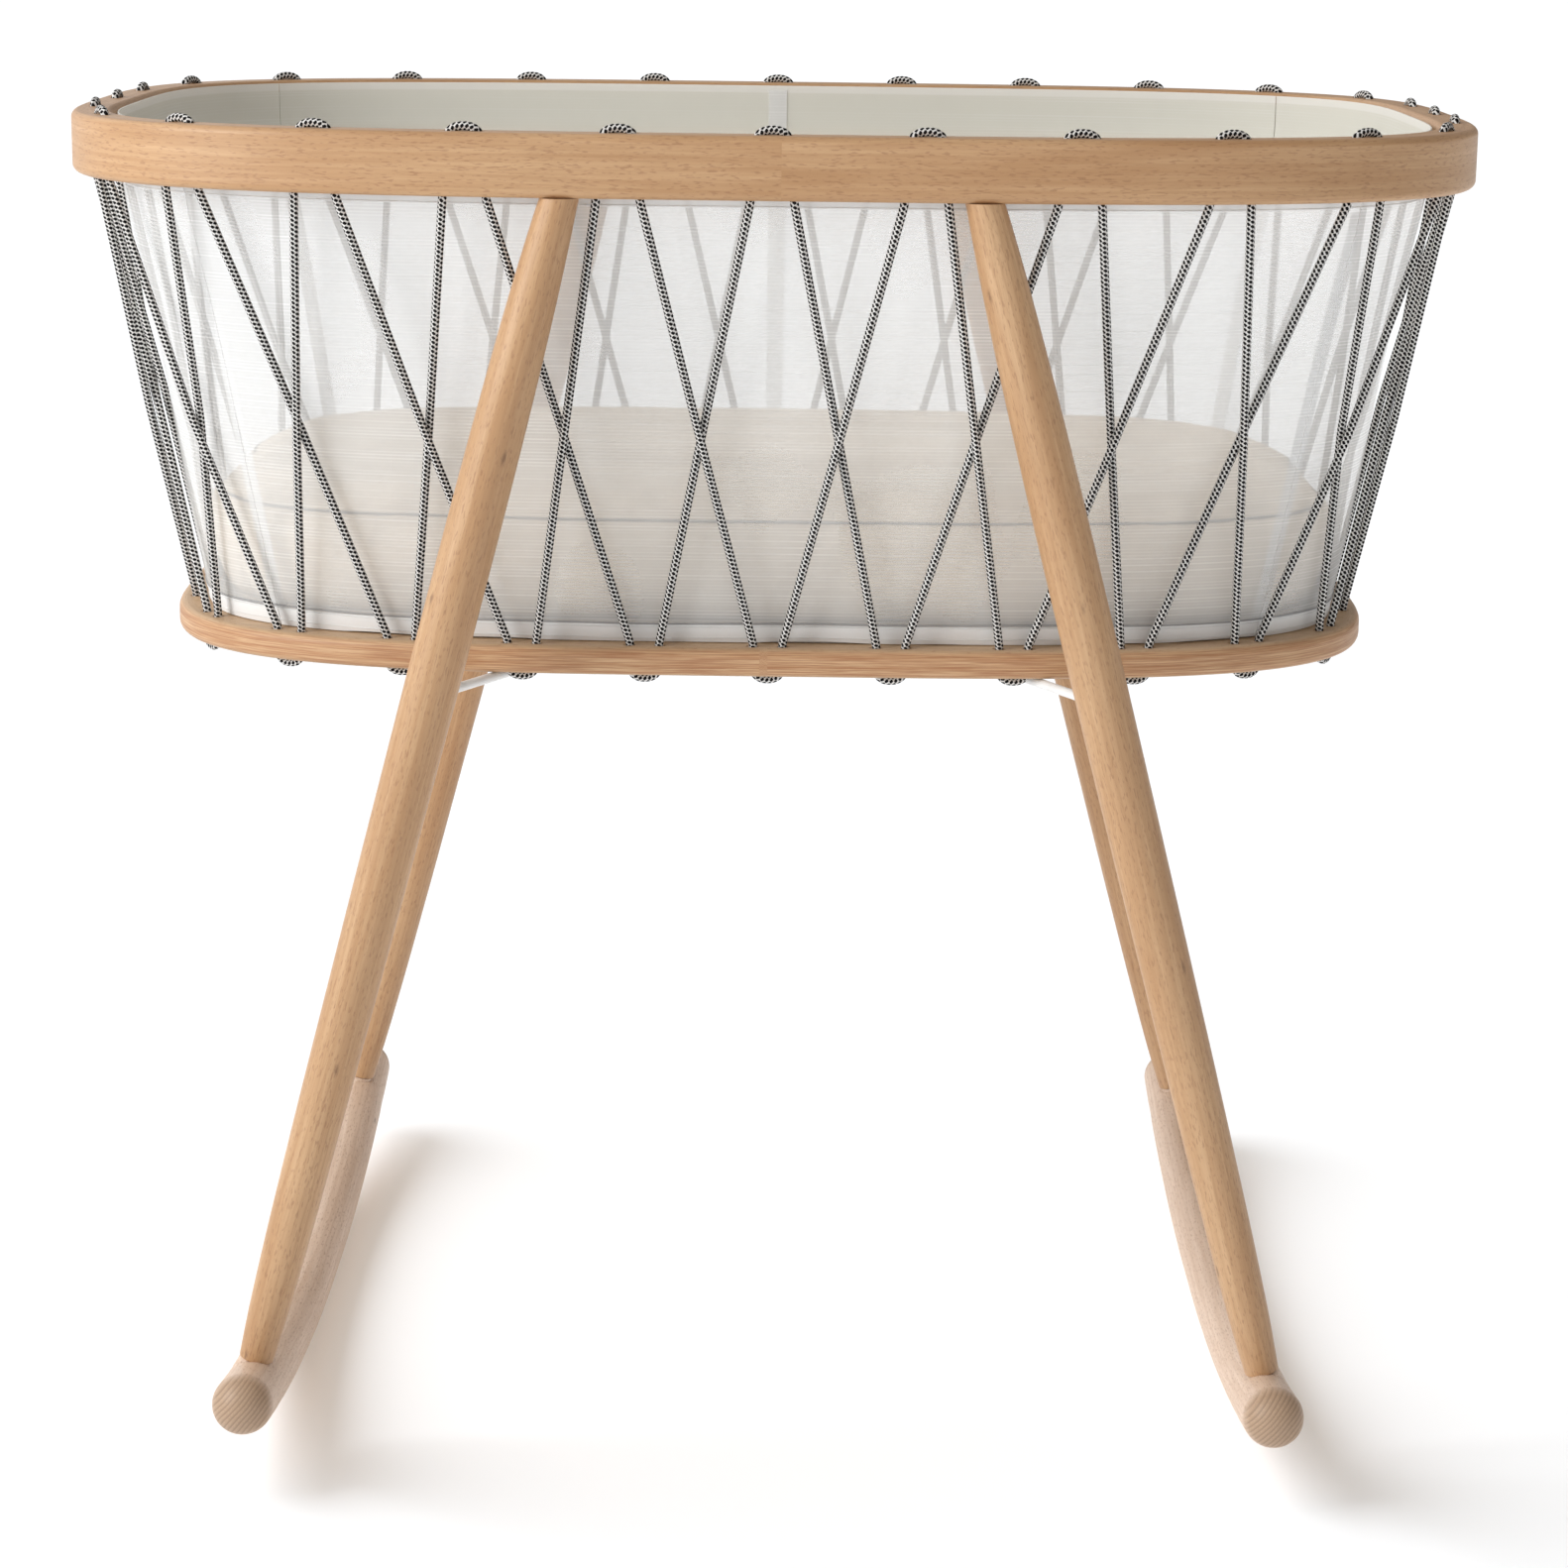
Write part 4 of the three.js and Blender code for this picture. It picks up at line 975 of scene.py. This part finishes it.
def cord_path(first, out):
    """The cord's route: a list of stretches, each already as smooth as it is."""
    pts = []
    for t in (0.5, 4.5):
        pts.append(hole_at(BASE, first * BP + t, BASE_BOT - SLEEVE_DROP))
    pts += [hole_at(BASE, first * BP + BASE_PAIR_LOW - 0.9, BASE_BOT - 3.7), lean(BASE, first, 1, *BASE_LEAN)(BASE_BOT - 0.6)]
    pts.append(lean(BASE, first, 1, *BASE_LEAN)(BASE_TOP - 2))
    for j in range(LACES // 2):
        r = first + 1 + 2 * j
        b = r + 1
        mid, n = crossing(r - 1)
        pts += [hole_at(BASE, (r - 1) * BP + BASE_PAIR, BASE_TOP + 1.5)]
        x = mid + n * out * CROSS_OFFSET
        a_, c_ = pts[-1], hole_at(RIM, r * RP - RIM_PAIR, RIM_BOT - 1.5)
        pts += [x + (a_ - x) * 0.06, x, x + (c_ - x) * 0.06, c_, lean(RIM, r, -1, *RIM_LEAN)(RIM_BOT + 3)]
        pts += stitch(RIM, r, RIM_LEAN, RIM_PAIR_TOP, RIM_TOP, 1)
        mid, n = crossing(r)
        x = mid + n * out * CROSS_OFFSET
        a_, c_ = hole_at(RIM, r * RP + RIM_PAIR, RIM_BOT - 1.5), hole_at(BASE, b * BP - BASE_PAIR, BASE_TOP + 1.5)
        pts += [lean(RIM, r, 1, *RIM_LEAN)(RIM_BOT + 3), a_, x + (a_ - x) * 0.06, x, x + (c_ - x) * 0.06, c_]
        pts.append(lean(BASE, b, -1, *BASE_LEAN)(BASE_TOP - 2))
        if j < LACES // 2 - 1:
            pts += stitch(BASE, b, BASE_LEAN, BASE_PAIR_LOW, BASE_BOT, -1, 2.9)
            pts.append(lean(BASE, b, 1, *BASE_LEAN)(BASE_TOP - 2))
    last = first + LACES
    pts += [lean(BASE, last, -1, *BASE_LEAN)(BASE_BOT - 0.6), hole_at(BASE, last * BP - BASE_PAIR_LOW + 0.9, BASE_BOT - 3.7)]
    for t in (-4.5, -0.5):
        pts.append(hole_at(BASE, last * BP + t, BASE_BOT - SLEEVE_DROP))
    return np.array(pts)


def build_cord(letter, first, out):
    path = cord_path(first, out)
    # long straight stretches get a few more points, corners are eased
    soft = round_corners(path, 2.2, 3)
    fine = [soft[0]]
    for q in soft[1:]:
        gap = np.linalg.norm(q - fine[-1])
        k = max(1, int(gap // 24))
        base = fine[-1]
        for i in range(1, k + 1):
            fine.append(base + (q - base) * i / k)
    fine = np.array(fine)
    rings, s, a, r = tube_rings(fine, CORD_R, 14)
    co = np.zeros(rings.shape)
    co[:, :, 0] = s[:, None] * MM
    co[:, :, 1] = (a * 6 / (2 * math.pi))[None, :]
    ob = loft("laced_cord_" + letter, rings, co, wrap_v=6.0)
    paint(ob, M_CORD)
    stand_for(ob, "braided_cord", "lacing_cord_" + letter)
    # the crimped sleeve over its two ends
    q, t, _ = BASE.at(first * BP)
    o = np.array([q[0], q[1], BASE_BOT - SLEEVE_DROP])
    ax = np.array([t[0], t[1], 0])
    prof = []
    for d in np.linspace(-4, 4, 17):
        pinch = 0.35 * (math.cos(d * math.pi / 1.6) * 0.5 + 0.5) if abs(d) < 2.4 else 0.0
        edge = max(0.0, abs(d) - 3.4)
        prof.append((4.1 - pinch - 0.5 * edge, d))
    inner = [(2.85, 4.0), (2.85, 0.0), (2.85, -4.0)]
    ref = np.array([0, 0, 1.0])
    v = np.cross(ax, ref)
    ang = 2 * math.pi * np.arange(40) / 40
    circ = ref * np.cos(ang)[:, None] + v * np.sin(ang)[:, None]
    rings = [o + ax * d + circ * rr for rr, d in prof + inner]
    sl = loft("crimp_sleeve_" + letter, rings, close=True)
    sharpen(sl, 40)
    paint(sl, M_STEEL)
    stand_for(sl, "steel", "cord_sleeve_" + letter)


# -------------------------------------------------------------------- hardware
def build_bracket(side, sx):
    path = bracket_path(sx)
    path[0] = path[0] + (path[1] - path[0]) * 0.02
    path[-1] = path[-1] + (path[-2] - path[-1]) * 0.02
    mid = [np.array([sx * BRACKET_X, y, BRACKET_Z]) for y in np.linspace(path[3][1] + 6, path[4][1] - 6, 8)]
    full = np.concatenate([path[:4], mid, path[4:]])
    full = round_corners(full, 9, 7)
    rings, s, a, r = tube_rings(full, BRACKET_R, 24)
    obs = [loft("rod", rings)]
    for sy in (-1, 1):
        # a pressed tab welded under the rod, with rounded corners
        cx, cy, z1 = sx * (BRACKET_X - 9.5), sy * TAB_Y, BASE_BOT - GAP
        pts = []
        for qx, qy, a0 in ((9.5, 5.0, 0), (-9.5, 5.0, 90), (-9.5, -5.0, 180), (9.5, -5.0, 270)):
            for k in range(7):
                an = math.radians(a0 + 15 * k)
                pts.append((cx + qx + 3 * math.cos(an), cy + qy + 3 * math.sin(an)))
        pts = np.array(pts)
        c = np.array([cx, cy])
        rows = [(0.5, z1 - 2.0), (0.0, z1 - 1.6), (0.0, z1 - 0.4), (0.5, z1)]
        tab = loft("tab", [np.concatenate([c + (pts - c) * (1 - i / 12.0), np.full((len(pts), 1), z)], 1) for i, z in rows])
        tool = lathe("t", [(2.4, -6), (2.4, 6)], 24, (sx * (BRACKET_X - 14), cy, z1), (0, 0, 1))
        cut(tab, [tool])
        obs.append(tab)
    ob = join_objects(side + "_bracket_rod", obs)
    u = ob.modifiers.new("w", "REMESH")
    u.mode, u.voxel_size = "VOXEL", 0.00045
    freeze(ob)
    sm = ob.modifiers.new("s", "SMOOTH")
    sm.factor, sm.iterations = 0.5, 3
    freeze(ob)
    for p in ob.data.polygons:
        p.use_smooth = True
    paint(ob, M_WHITE)
    stand_for(ob, "white_steel", side + "_support_bracket")
    for end, sy in (("front", -1), ("rear", 1)):
        z = BASE_BOT - GAP - 2 - GAP
        prof = [(1.2, -2.6), (2.6, -2.5), (3.5, -2.1), (4.0, -1.5), (4.15, -0.7), (4.1, 0), (2.0, 0)]
        prof += [(2.0, 0.6)]
        for k in range(10):
            prof += [(2.0, 1.0 + k * 1.1), (1.65, 1.45 + k * 1.1)]
        prof += [(1.6, 12.2), (0.4, 14.0)]
        sc = lathe(side + "_" + end + "_pan_screw", prof, 32, (sx * (BRACKET_X - 14), sy * TAB_Y, z), (0, 0, 1))
        o = np.array([sx * (BRACKET_X - 14), sy * TAB_Y, z])
        # a cross recess
        bars = []
        for q in ((0.45, 2.3), (2.3, 0.45)):
            v = [(sa * q[0] * k, sb * q[1] * k, zz) for zz, k in ((-4.0, 1.0), (-1.2, 0.55)) for sa, sb in ((-1, -1), (1, -1), (1, 1), (-1, 1))]
            f = [(0, 3, 2, 1), (4, 5, 6, 7), (0, 1, 5, 4), (1, 2, 6, 5), (2, 3, 7, 6), (3, 0, 4, 7)]
            bars.append(make("bar", np.array(v) + o, f))
        for bar in bars:
            cut(sc, [bar])
        sharpen(sc, 40)
        paint(sc, M_STEEL)
        stand_for(sc, "steel", side + "_" + end + "_bracket_screw")


def band(name, line, o0, o1, z0, z1, N=360):
    p, t, n = line.at(line.P * np.arange(N) / N)
    sec = [(o0, z0), (o1, z0), (o1, z1), (o0, z1)]
    rings = np.stack([np.concatenate([p + n * o, np.full((N, 1), z)], 1) for o, z in sec], 1)
    return sharpen(loft(name, rings, close=True), 40)


# ----------------------------------------------------------------------- liner
WALL_ROWS = np.array([[515.3, 0], [590, 0.26], [794, 1], [832.5, 1]])


def share_at(z):
    s = np.interp(z, WALL_ROWS[:, 0], WALL_ROWS[:, 1])
    k = np.clip((z - 774) / 40, 0, 1)
    return s - 0.018 * np.sin(math.pi * k) ** 2 * 1.0


def wall(f, z, inset=0.0):
    """A point of the liner's wall: f is the share of the way round, inset goes inward."""
    f, z = np.broadcast_arrays(np.asarray(f, float), np.asarray(z, float))
    pa, _, na = BASE.at(f * BASE.P)
    pb, _, nb = RIM.at(f * RIM.P)
    s = share_at(z)[..., None]
    inset = np.broadcast_to(np.asarray(inset, float), f.shape)[..., None]
    a, b = pa + na * (WALL_FOOT - inset), pb + nb * (WALL_TOP - inset)
    return np.concatenate([a + (b - a) * s, z[..., None]], -1)


def folds(f, z):
    """How far the hung cloth moves inward: slack folds by the corners, soft ripples along the sides, none at the hem."""
    up = np.clip((z - 604) / 110, 0, 1) * np.clip((796 - z) / 26, 0, 1)
    out = np.zeros(np.broadcast(f, z).shape)
    rng = np.random.default_rng(7)
    for c in (0.118, 0.382, 0.618, 0.882):
        for k in range(9):
            at = c + rng.uniform(-0.075, 0.075)
            w = rng.uniform(0.0035, 0.009)
            lean = rng.uniform(-0.00007, 0.00007)
            h = rng.uniform(-1.6, 2.6)
            d = (f - at - lean * (z - 700) + 0.5) % 1.0 - 0.5
            out = out + h * np.exp(-(d / w) ** 2) * up * np.clip((z - rng.uniform(600, 680)) / 90, 0, 1)
    for k in range(14):
        at, w = rng.uniform(0, 1), rng.uniform(0.012, 0.03)
        h = rng.uniform(-0.9, 0.9)
        d = (f - at + 0.5) % 1.0 - 0.5
        out = out + h * np.exp(-(d / w) ** 2) * up
    # the side walls sag in a little between hem and mattress
    out = out + 2.2 * np.sin(math.pi * np.clip((z - 600) / 194, 0, 1)) ** 1.3
    return out


def build_panel(name, f0, f1, nodes, count):
    trim = 0.00016
    f = np.linspace(f0 + trim, f1 - trim, count)
    z = np.concatenate([np.linspace(515.6, 530, 8), np.linspace(534, 790, 62), np.linspace(793, 832.3, 12)])
    F, Z = np.meshgrid(f, z, indexing="ij")
    move = folds(F % 1.0, Z)
    # the foot lifts off the plate here and there
    lift = 1.5 * np.clip(np.sin(F * 2 * math.pi * 9 + 0.6) * 0.6 + np.sin(F * 2 * math.pi * 23) * 0.4, 0, 1)
    drop = np.clip((530 - Z) / 15, 0, 1)
    outer = wall(F, Z, move)
    inner = wall(F, Z, move + 0.9)
    outer[..., 2] += lift * drop
    inner[..., 2] += lift * drop
    ring = np.concatenate([outer, inner[:, ::-1]], 1)
    ob = loft(name + "_cloth", ring)
    for p in ob.data.polygons:
        p.use_smooth = True
    sharpen(ob, 60, False)
    paint(ob, M_MESH)
    stand_for(ob, "mesh_fabric", *nodes, body="liner")
    return ob


def run_line(f, z, inset, radius, name, mat, closed=True, sides=8, move=True):
    """A thread or piping round the liner's wall."""
    f = np.asarray(f, float)
    z = np.broadcast_to(np.asarray(z, float), f.shape)
    extra = folds(f % 1.0, z) if move else 0.0
    p = wall(f, z, inset + extra)
    if closed:
        t = np.roll(p, -1, 0) - np.roll(p, 1, 0)
        t /= np.linalg.norm(t, axis=1, keepdims=True)
        up = np.array([0, 0, 1.0])
        n = np.cross(t, up)
        n /= np.linalg.norm(n, axis=1, keepdims=True)
        b = np.cross(n, t)
        a = 2 * math.pi * np.arange(sides) / sides
        rings = p[:, None] + radius * (n[:, None] * np.cos(a)[None, :, None] + b[:, None] * np.sin(a)[None, :, None])
        ob = loft(name, rings, close=True)
    else:
        rings, s, a, r = tube_rings(p, radius, sides)
        ob = loft(name, rings)
    paint(ob, mat)
    return ob


def build_liner():
    build_panel("liner_front", -SEAM, SEAM, ["liner_front"], 150)
    build_panel("liner_right", SEAM, 0.5 - SEAM, ["liner_right_end"], 190)
    build_panel("liner_back", 0.5 - SEAM, 0.5 + SEAM, ["liner_back"], 150)
    build_panel("liner_left", 0.5 + SEAM, 1 - SEAM, ["liner_left_end"], 190)
    # floor
    N = 280
    p, t, n = BASE.at(BASE.P * np.arange(N) / N)
    o = WALL_FOOT - 2.6
    z0, z1 = BASE_TOP + GAP, BASE_TOP + GAP + 1.3
    rows = [(-60.0, z0), (o - 0.5, z0), (o, z0 + 0.4), (o, z1 - 0.4), (o - 0.5, z1), (-60.0, z1)]
    fl = loft("liner_floor_cloth", [np.concatenate([p + n * q, np.full((N, 1), z)], 1) for q, z in rows])
    sharpen(fl, 50)
    paint(fl, M_BIND)
    stand_for(fl, "mesh_fabric", "liner_floor", body="liner")
    # binding tapes over the four corner seams, inside, and the middle seam at the back
    for k, c in enumerate((SEAM, 0.5 - SEAM, 0.5 + SEAM, 1 - SEAM, 0.5)):
        z = np.linspace(519, 787, 64) if k < 4 else np.concatenate([np.linspace(519, 790, 60), np.linspace(794, 829, 8)])
        half = 0.0026
        prof = []
        for f, ins in ((c - half, 1.05), (c - half * 0.5, 1.0), (c, 0.95), (c + half * 0.5, 1.0), (c + half, 1.05), (c + half, 1.65), (c, 1.85), (c - half, 1.65)):
            prof.append(wall(np.full_like(z, f), z, folds(np.full_like(z, f), z) + ins))
        ob = loft("corner_binding_%d" % (k + 1), np.stack(prof, 1))
        sharpen(ob, 50)
        paint(ob, M_SEAM)
        stand_for(ob, "mesh_fabric", body="liner")
    # sewn lines: grey double stitching over the foot band, one row at its hem and one under the top hem
    f = np.arange(900) / 900
    wave = 0.5 * np.sin(f * 2 * math.pi * 5) + 0.35 * np.sin(f * 2 * math.pi * 13 + 1)
    for k, (z, ins, r, m) in enumerate(((FOOT_BAND + 0.9, -0.25, 0.45, M_THREAD), (FOOT_BAND - 1.2, -0.15, 0.25, M_BIND), (518.4, -0.1, 0.22, M_BIND), (HEM_LINE - 4.5, -0.1, 0.25, M_BIND))):
        ob = run_line(f, z + wave * (1.0 if k < 3 else 0.0), ins, r, "stitching_%d" % (k + 1), m, move=True)
        stand_for(ob, "mesh_fabric", body="liner")


# -------------------------------------------------------------------- mattress
def build_mattress():
    bot, low, high, top = BASE_TOP + GAP + 1.5 + 0.5, 527.0, 590.0, 604.0
    N = 120
    f = np.arange(N) / N

    def ring(z, sh, inset):
        pa, _, na = BASE.at(f * BASE.P)
        pb, _, nb = RIM.at(f * RIM.P)
        a, b = pa + na * (WALL_FOOT - inset), pb + nb * (WALL_TOP - inset)
        return np.concatenate([a + (b - a) * sh, np.full((N, 1), z)], 1)
    rows = [(bot + 1.5, 0.0, 60), (bot + 1.5, 0.0, 20), (low - 2, 0.03, 10), (low + 8, 0.05, 8), (560, 0.16, 8), (high - 8, 0.24, 8), (high + 2, 0.26, 12), (high + 6, 0.27, 30), (high + 8, 0.28, 70)]
    ob = loft("mattress_pad", [ring(*r) for r in rows])
    rm = ob.modifiers.new("r", "REMESH")
    rm.mode, rm.voxel_size = "VOXEL", 0.0055
    freeze(ob)
    start = points_of(ob)
    c = ob.modifiers.new("cloth", "CLOTH")
    s = c.settings
    s.quality, s.mass, s.air_damping = 5, 0.3, 3.0
    s.tension_stiffness = s.compression_stiffness = 30
    s.shear_stiffness, s.bending_stiffness = 15, 4.0
    s.use_pressure, s.uniform_pressure_force = True, 4.0
    s.effector_weights.gravity = 0.0
    c.collision_settings.use_collision = False
    c.collision_settings.use_self_collision = False
    scene.frame_start, scene.frame_end = 1, 20
    c.point_cache.frame_start, c.point_cache.frame_end = 1, 20
    for k in range(1, 21):
        scene.frame_set(k)
    freeze(ob)
    scene.frame_set(1)
    moved = points_of(ob)
    d = moved - start
    ln = np.linalg.norm(d, axis=1, keepdims=True)
    cap = 9.0
    d *= np.minimum(1, cap / np.maximum(ln, 1e-9))
    start = start + d
    p = start
    # crowned a little in the middle, flat underneath
    ex = np.clip(np.abs(p[:, 0]) / 360, 0, 1) ** 3 + np.clip(np.abs(p[:, 1]) / 215, 0, 1) ** 3
    topness = np.clip((p[:, 2] - high) / 8, 0, 1)
    p[:, 2] += topness * 3.0 * np.clip(1 - ex, 0, 1)
    set_points(ob, p)
    sub = ob.modifiers.new("s", "SUBSURF")
    sub.levels = sub.render_levels = 1
    freeze(ob)
    p = points_of(ob)
    place = outline_places(BASE)
    c = place(p)
    side = c[:, 1]
    # slack in the cover: long low creases on top, short ones below the edge seam
    rng = np.random.default_rng(3)
    crease = np.zeros(len(p))
    for k in range(34):
        cx, cy = rng.uniform(-330, 330), rng.uniform(-190, 190)
        an = rng.normal(0.0, 0.35)
        L_, W_ = rng.uniform(40, 130), rng.uniform(3.5, 9)
        h = rng.uniform(-1.5, 1.5)
        dx, dy = p[:, 0] - cx, p[:, 1] - cy
        a_, b_ = dx * math.cos(an) + dy * math.sin(an), -dx * math.sin(an) + dy * math.cos(an)
        crease += h * np.exp(-(a_ / L_) ** 2 - (b_ / W_) ** 2)
    p[:, 2] += crease * np.clip((p[:, 2] - high - 2) / 6, 0, 1)
    nrm = BASE.at(c[:, 0])[2]
    # seams pull in, the wall between them bulges
    groove = 1.9 * (np.exp(-((p[:, 2] - high) / 3.6) ** 2) + np.exp(-((p[:, 2] - low) / 3.6) ** 2)) * (side > -30)
    bulge = np.zeros(len(p))
    for k in range(60):
        at, w = rng.uniform(0, BASE.P), rng.uniform(4, 12)
        zc, zh = rng.choice([high, low]), rng.uniform(8, 20)
        d_ = (c[:, 0] - at + BASE.P / 2) % BASE.P - BASE.P / 2
        bulge += rng.uniform(-0.7, 0.7) * np.exp(-(d_ / w) ** 2 - ((p[:, 2] - zc) / zh) ** 2)
    push = -groove + bulge * (side > -30)
    p[:, :2] += nrm * push[:, None]
    # never through the liner or its floor
    fr = c[:, 0] / BASE.P
    lim_p = wall(fr, np.clip(p[:, 2], 516, 830), 3.0)
    lim = (lim_p[:, :2] * nrm).sum(1)
    now = (p[:, :2] * nrm).sum(1)
    over = np.maximum(0, now - lim)
    p[:, :2] -= nrm * (over * (side > -60))[:, None]
    p[:, 2] = np.maximum(p[:, 2], bot)
    set_points(ob, p)
    for q in ob.data.polygons:
        q.use_smooth = True
    paint(ob, M_MATTRESS)
    stand_for(ob, "mattress_cover", "mattress", body="mattress")
    # piping along both seams, laid on the pad's own surface; its dark grey colour is painted seam shade
    bvh = BVHTree.FromObject(ob, bpy.context.evaluated_depsgraph_get())
    pipes = []
    for tag, z in (("top", high), ("bottom", low)):
        M = 520
        pts = []
        for k in range(M):
            q, t, n = BASE.at(BASE.P * k / M)
            far = Vector(((q[0] + n[0] * 120) * MM, (q[1] + n[1] * 120) * MM, z * MM))
            hit = bvh.ray_cast(far, Vector((-n[0], -n[1], 0)))
            h = np.array(hit[0]) / MM if hit[0] is not None else np.array([q[0], q[1], z])
            pts.append(h + np.array([n[0], n[1], 0]) * 0.25)
        pts = np.array(pts)
        for _ in range(6):
            pts = (np.roll(pts, 1, 0) + pts * 2 + np.roll(pts, -1, 0)) / 4
        pts[:, 2] = z
        t = np.roll(pts, -1, 0) - np.roll(pts, 1, 0)
        t /= np.linalg.norm(t, axis=1, keepdims=True)
        nn = np.cross(t, [0, 0, 1.0])
        a = 2 * math.pi * np.arange(10) / 10
        rings = pts[:, None] + 1.0 * (nn[:, None] * np.cos(a)[None, :, None] + np.array([0, 0, 1.0])[None, None] * np.sin(a)[None, :, None])
        pipe = loft("mattress_piping_" + tag, rings, close=True)
        paint(pipe, M_PIPING_SEAM_SHADE)
        stand_for(pipe, "mattress_cover", body="mattress")
        pipes.append(pipe)


# ------------------------------------------------------------------- build all
build_rim()
build_base()
for k, (name, sx, sy) in enumerate(CORNERS):
    build_leg(name, sx, sy, (0.37 * k + 0.11, 0.013 * k, 0.021 * k + 0.004))
build_rocker("left", -1, (0.2, 0.01, 0.02))
build_rocker("right", 1, (1.3, 0.03, 0.01))
build_cord("a", 14, 1)
build_cord("b", 13, -1)
build_bracket("left", -1)
build_bracket("right", 1)
tape = band("rim_tape", RIM, -RIM_T / 2 - GAP - 1.2, -RIM_T / 2 - GAP, RIM_BOT + 6, RIM_TOP - 8)
paint(tape, M_TAPE)
stand_for(tape, "tape", "rim_hook_tape")
build_liner()
build_mattress()
for name, ob in frame["nodes"].items():
    if name.endswith("_bolt"):
        paint_to = M_STEEL
    elif name.endswith("_insert"):
        paint_to = M_BRASS
    else:
        continue
    for s in ob.material_slots:
        s.link = "OBJECT"
        s.material = paint_to

# ------------------------------------------------------- floor, light and camera
objects = bpy.data.collections.new("objects_lit")
for ob in list(scene.collection.objects):
    if ob.type == "MESH":
        objects.objects.link(ob)
ground = bpy.data.collections.new("ground_lit")
casters = bpy.data.collections.new("ground_shadow")
for ob in list(scene.collection.objects):
    if ob.type == "MESH" and ("rocker_bent" in ob.name or ob.name.startswith("front_") and "leg_turned" in ob.name):
        casters.objects.link(ob)

floor_me = bpy.data.meshes.new("floor")
S = 60.0
floor_me.from_pydata([(-S, -S, 0), (S, -S, 0), (S, S, 0), (-S, S, 0)], [], [(0, 1, 2, 3)])
floor = bpy.data.objects.new("floor", floor_me)
floor.location.z = -0.0002
scene.collection.objects.link(floor)
ground.objects.link(floor)
fm = Nodes("floor_white")
floor_me.materials.append(fm.finish((0.93, 0.93, 0.93), 0.8))
fm.b.inputs["Specular IOR Level"].default_value = 0.1

world = bpy.data.worlds.new("world")
scene.world = world
world.use_nodes = True
bg = world.node_tree.nodes["Background"]
# brighter from the left, dimmer from the right
coord, split, shade = (world.node_tree.nodes.new(k) for k in ("ShaderNodeTexCoord", "ShaderNodeSeparateXYZ", "ShaderNodeMapRange"))
tint = world.node_tree.nodes.new("ShaderNodeValToRGB")
shade.inputs["From Min"].default_value, shade.inputs["From Max"].default_value = -1.0, 1.0
tint.color_ramp.elements[0].color, tint.color_ramp.elements[1].color = (1.35, 1.34, 1.32, 1), (0.50, 0.475, 0.45, 1)
world.node_tree.links.new(coord.outputs["Generated"], split.inputs[0])
world.node_tree.links.new(split.outputs[0], shade.inputs["Value"])
world.node_tree.links.new(shade.outputs[0], tint.inputs["Fac"])
world.node_tree.links.new(tint.outputs["Color"], bg.inputs["Color"])
bg.inputs["Strength"].default_value = 0.50


def lamp(name, kind, direction, strength, size, color=(1, 1, 1), at=None, lit=None, shade=None):
    li = bpy.data.lights.new(name, kind)
    li.energy, li.color = strength, color
    if kind == "SUN":
        li.angle = math.radians(size)
    else:
        li.shape, li.size = "DISK", size
    ob = bpy.data.objects.new(name, li)
    ob.rotation_euler = Vector(direction).to_track_quat("-Z", "Y").to_euler()
    if at:
        ob.location = at
    scene.collection.objects.link(ob)
    if lit:
        ob.light_linking.receiver_collection = lit
    if shade:
        ob.light_linking.blocker_collection = shade
    return li


# the room: a big soft window at the left, close enough to fall off along the object
lamp("window", "AREA", (2.1, 1.2, -0.85), 39.0, 1.5, (0.985, 0.995, 1.0), at=(-2.1, -1.35, 1.5), lit=objects)
lamp("soft_top", "SUN", (0.55, 0.25, -0.80), 0.45, 50, (1.0, 0.95, 0.88), lit=objects)
lamp("back_wash", "SUN", (0.5, -0.75, -0.35), 0.40, 60, (0.97, 0.985, 1.0), lit=objects)
lamp("ground_key", "SUN", (0.80, -0.22, -0.62), 2.98, 46, (0.87, 0.93, 1.0), lit=ground, shade=casters)
lamp("ground_fill", "SUN", (0.0, 0.0, -1.0), 0.62, 10, (1.0, 0.965, 0.91), lit=ground).use_shadow = False

yaw, pitch, roll = math.radians(-0.0453), math.radians(13.32), math.radians(0.7217)
Rt = np.array([math.cos(yaw), -math.sin(yaw), 0.0])
Fw = np.array([math.sin(yaw) * math.cos(pitch), math.cos(yaw) * math.cos(pitch), -math.sin(pitch)])
Up = np.cross(Rt, Fw)
R2 = math.cos(roll) * Rt + math.sin(roll) * Up
U2 = -math.sin(roll) * Rt + math.cos(roll) * Up
cam = bpy.data.cameras.new("camera")
cam.sensor_fit, cam.sensor_width = "HORIZONTAL", 36.0
cam.lens = 3869.2 / 1582 * 36.0
cam.clip_start, cam.clip_end = 0.05, 200.0
cam_ob = bpy.data.objects.new("camera", cam)
cam_ob.matrix_world = Matrix([[R2[0], U2[0], -Fw[0], 0.0131], [R2[1], U2[1], -Fw[1], -2.5800], [R2[2], U2[2], -Fw[2], 0.9823], [0, 0, 0, 1]])
scene.collection.objects.link(cam_ob)
scene.camera = cam_ob
scene.view_settings.view_transform = "Standard"
scene.view_settings.look = "None"
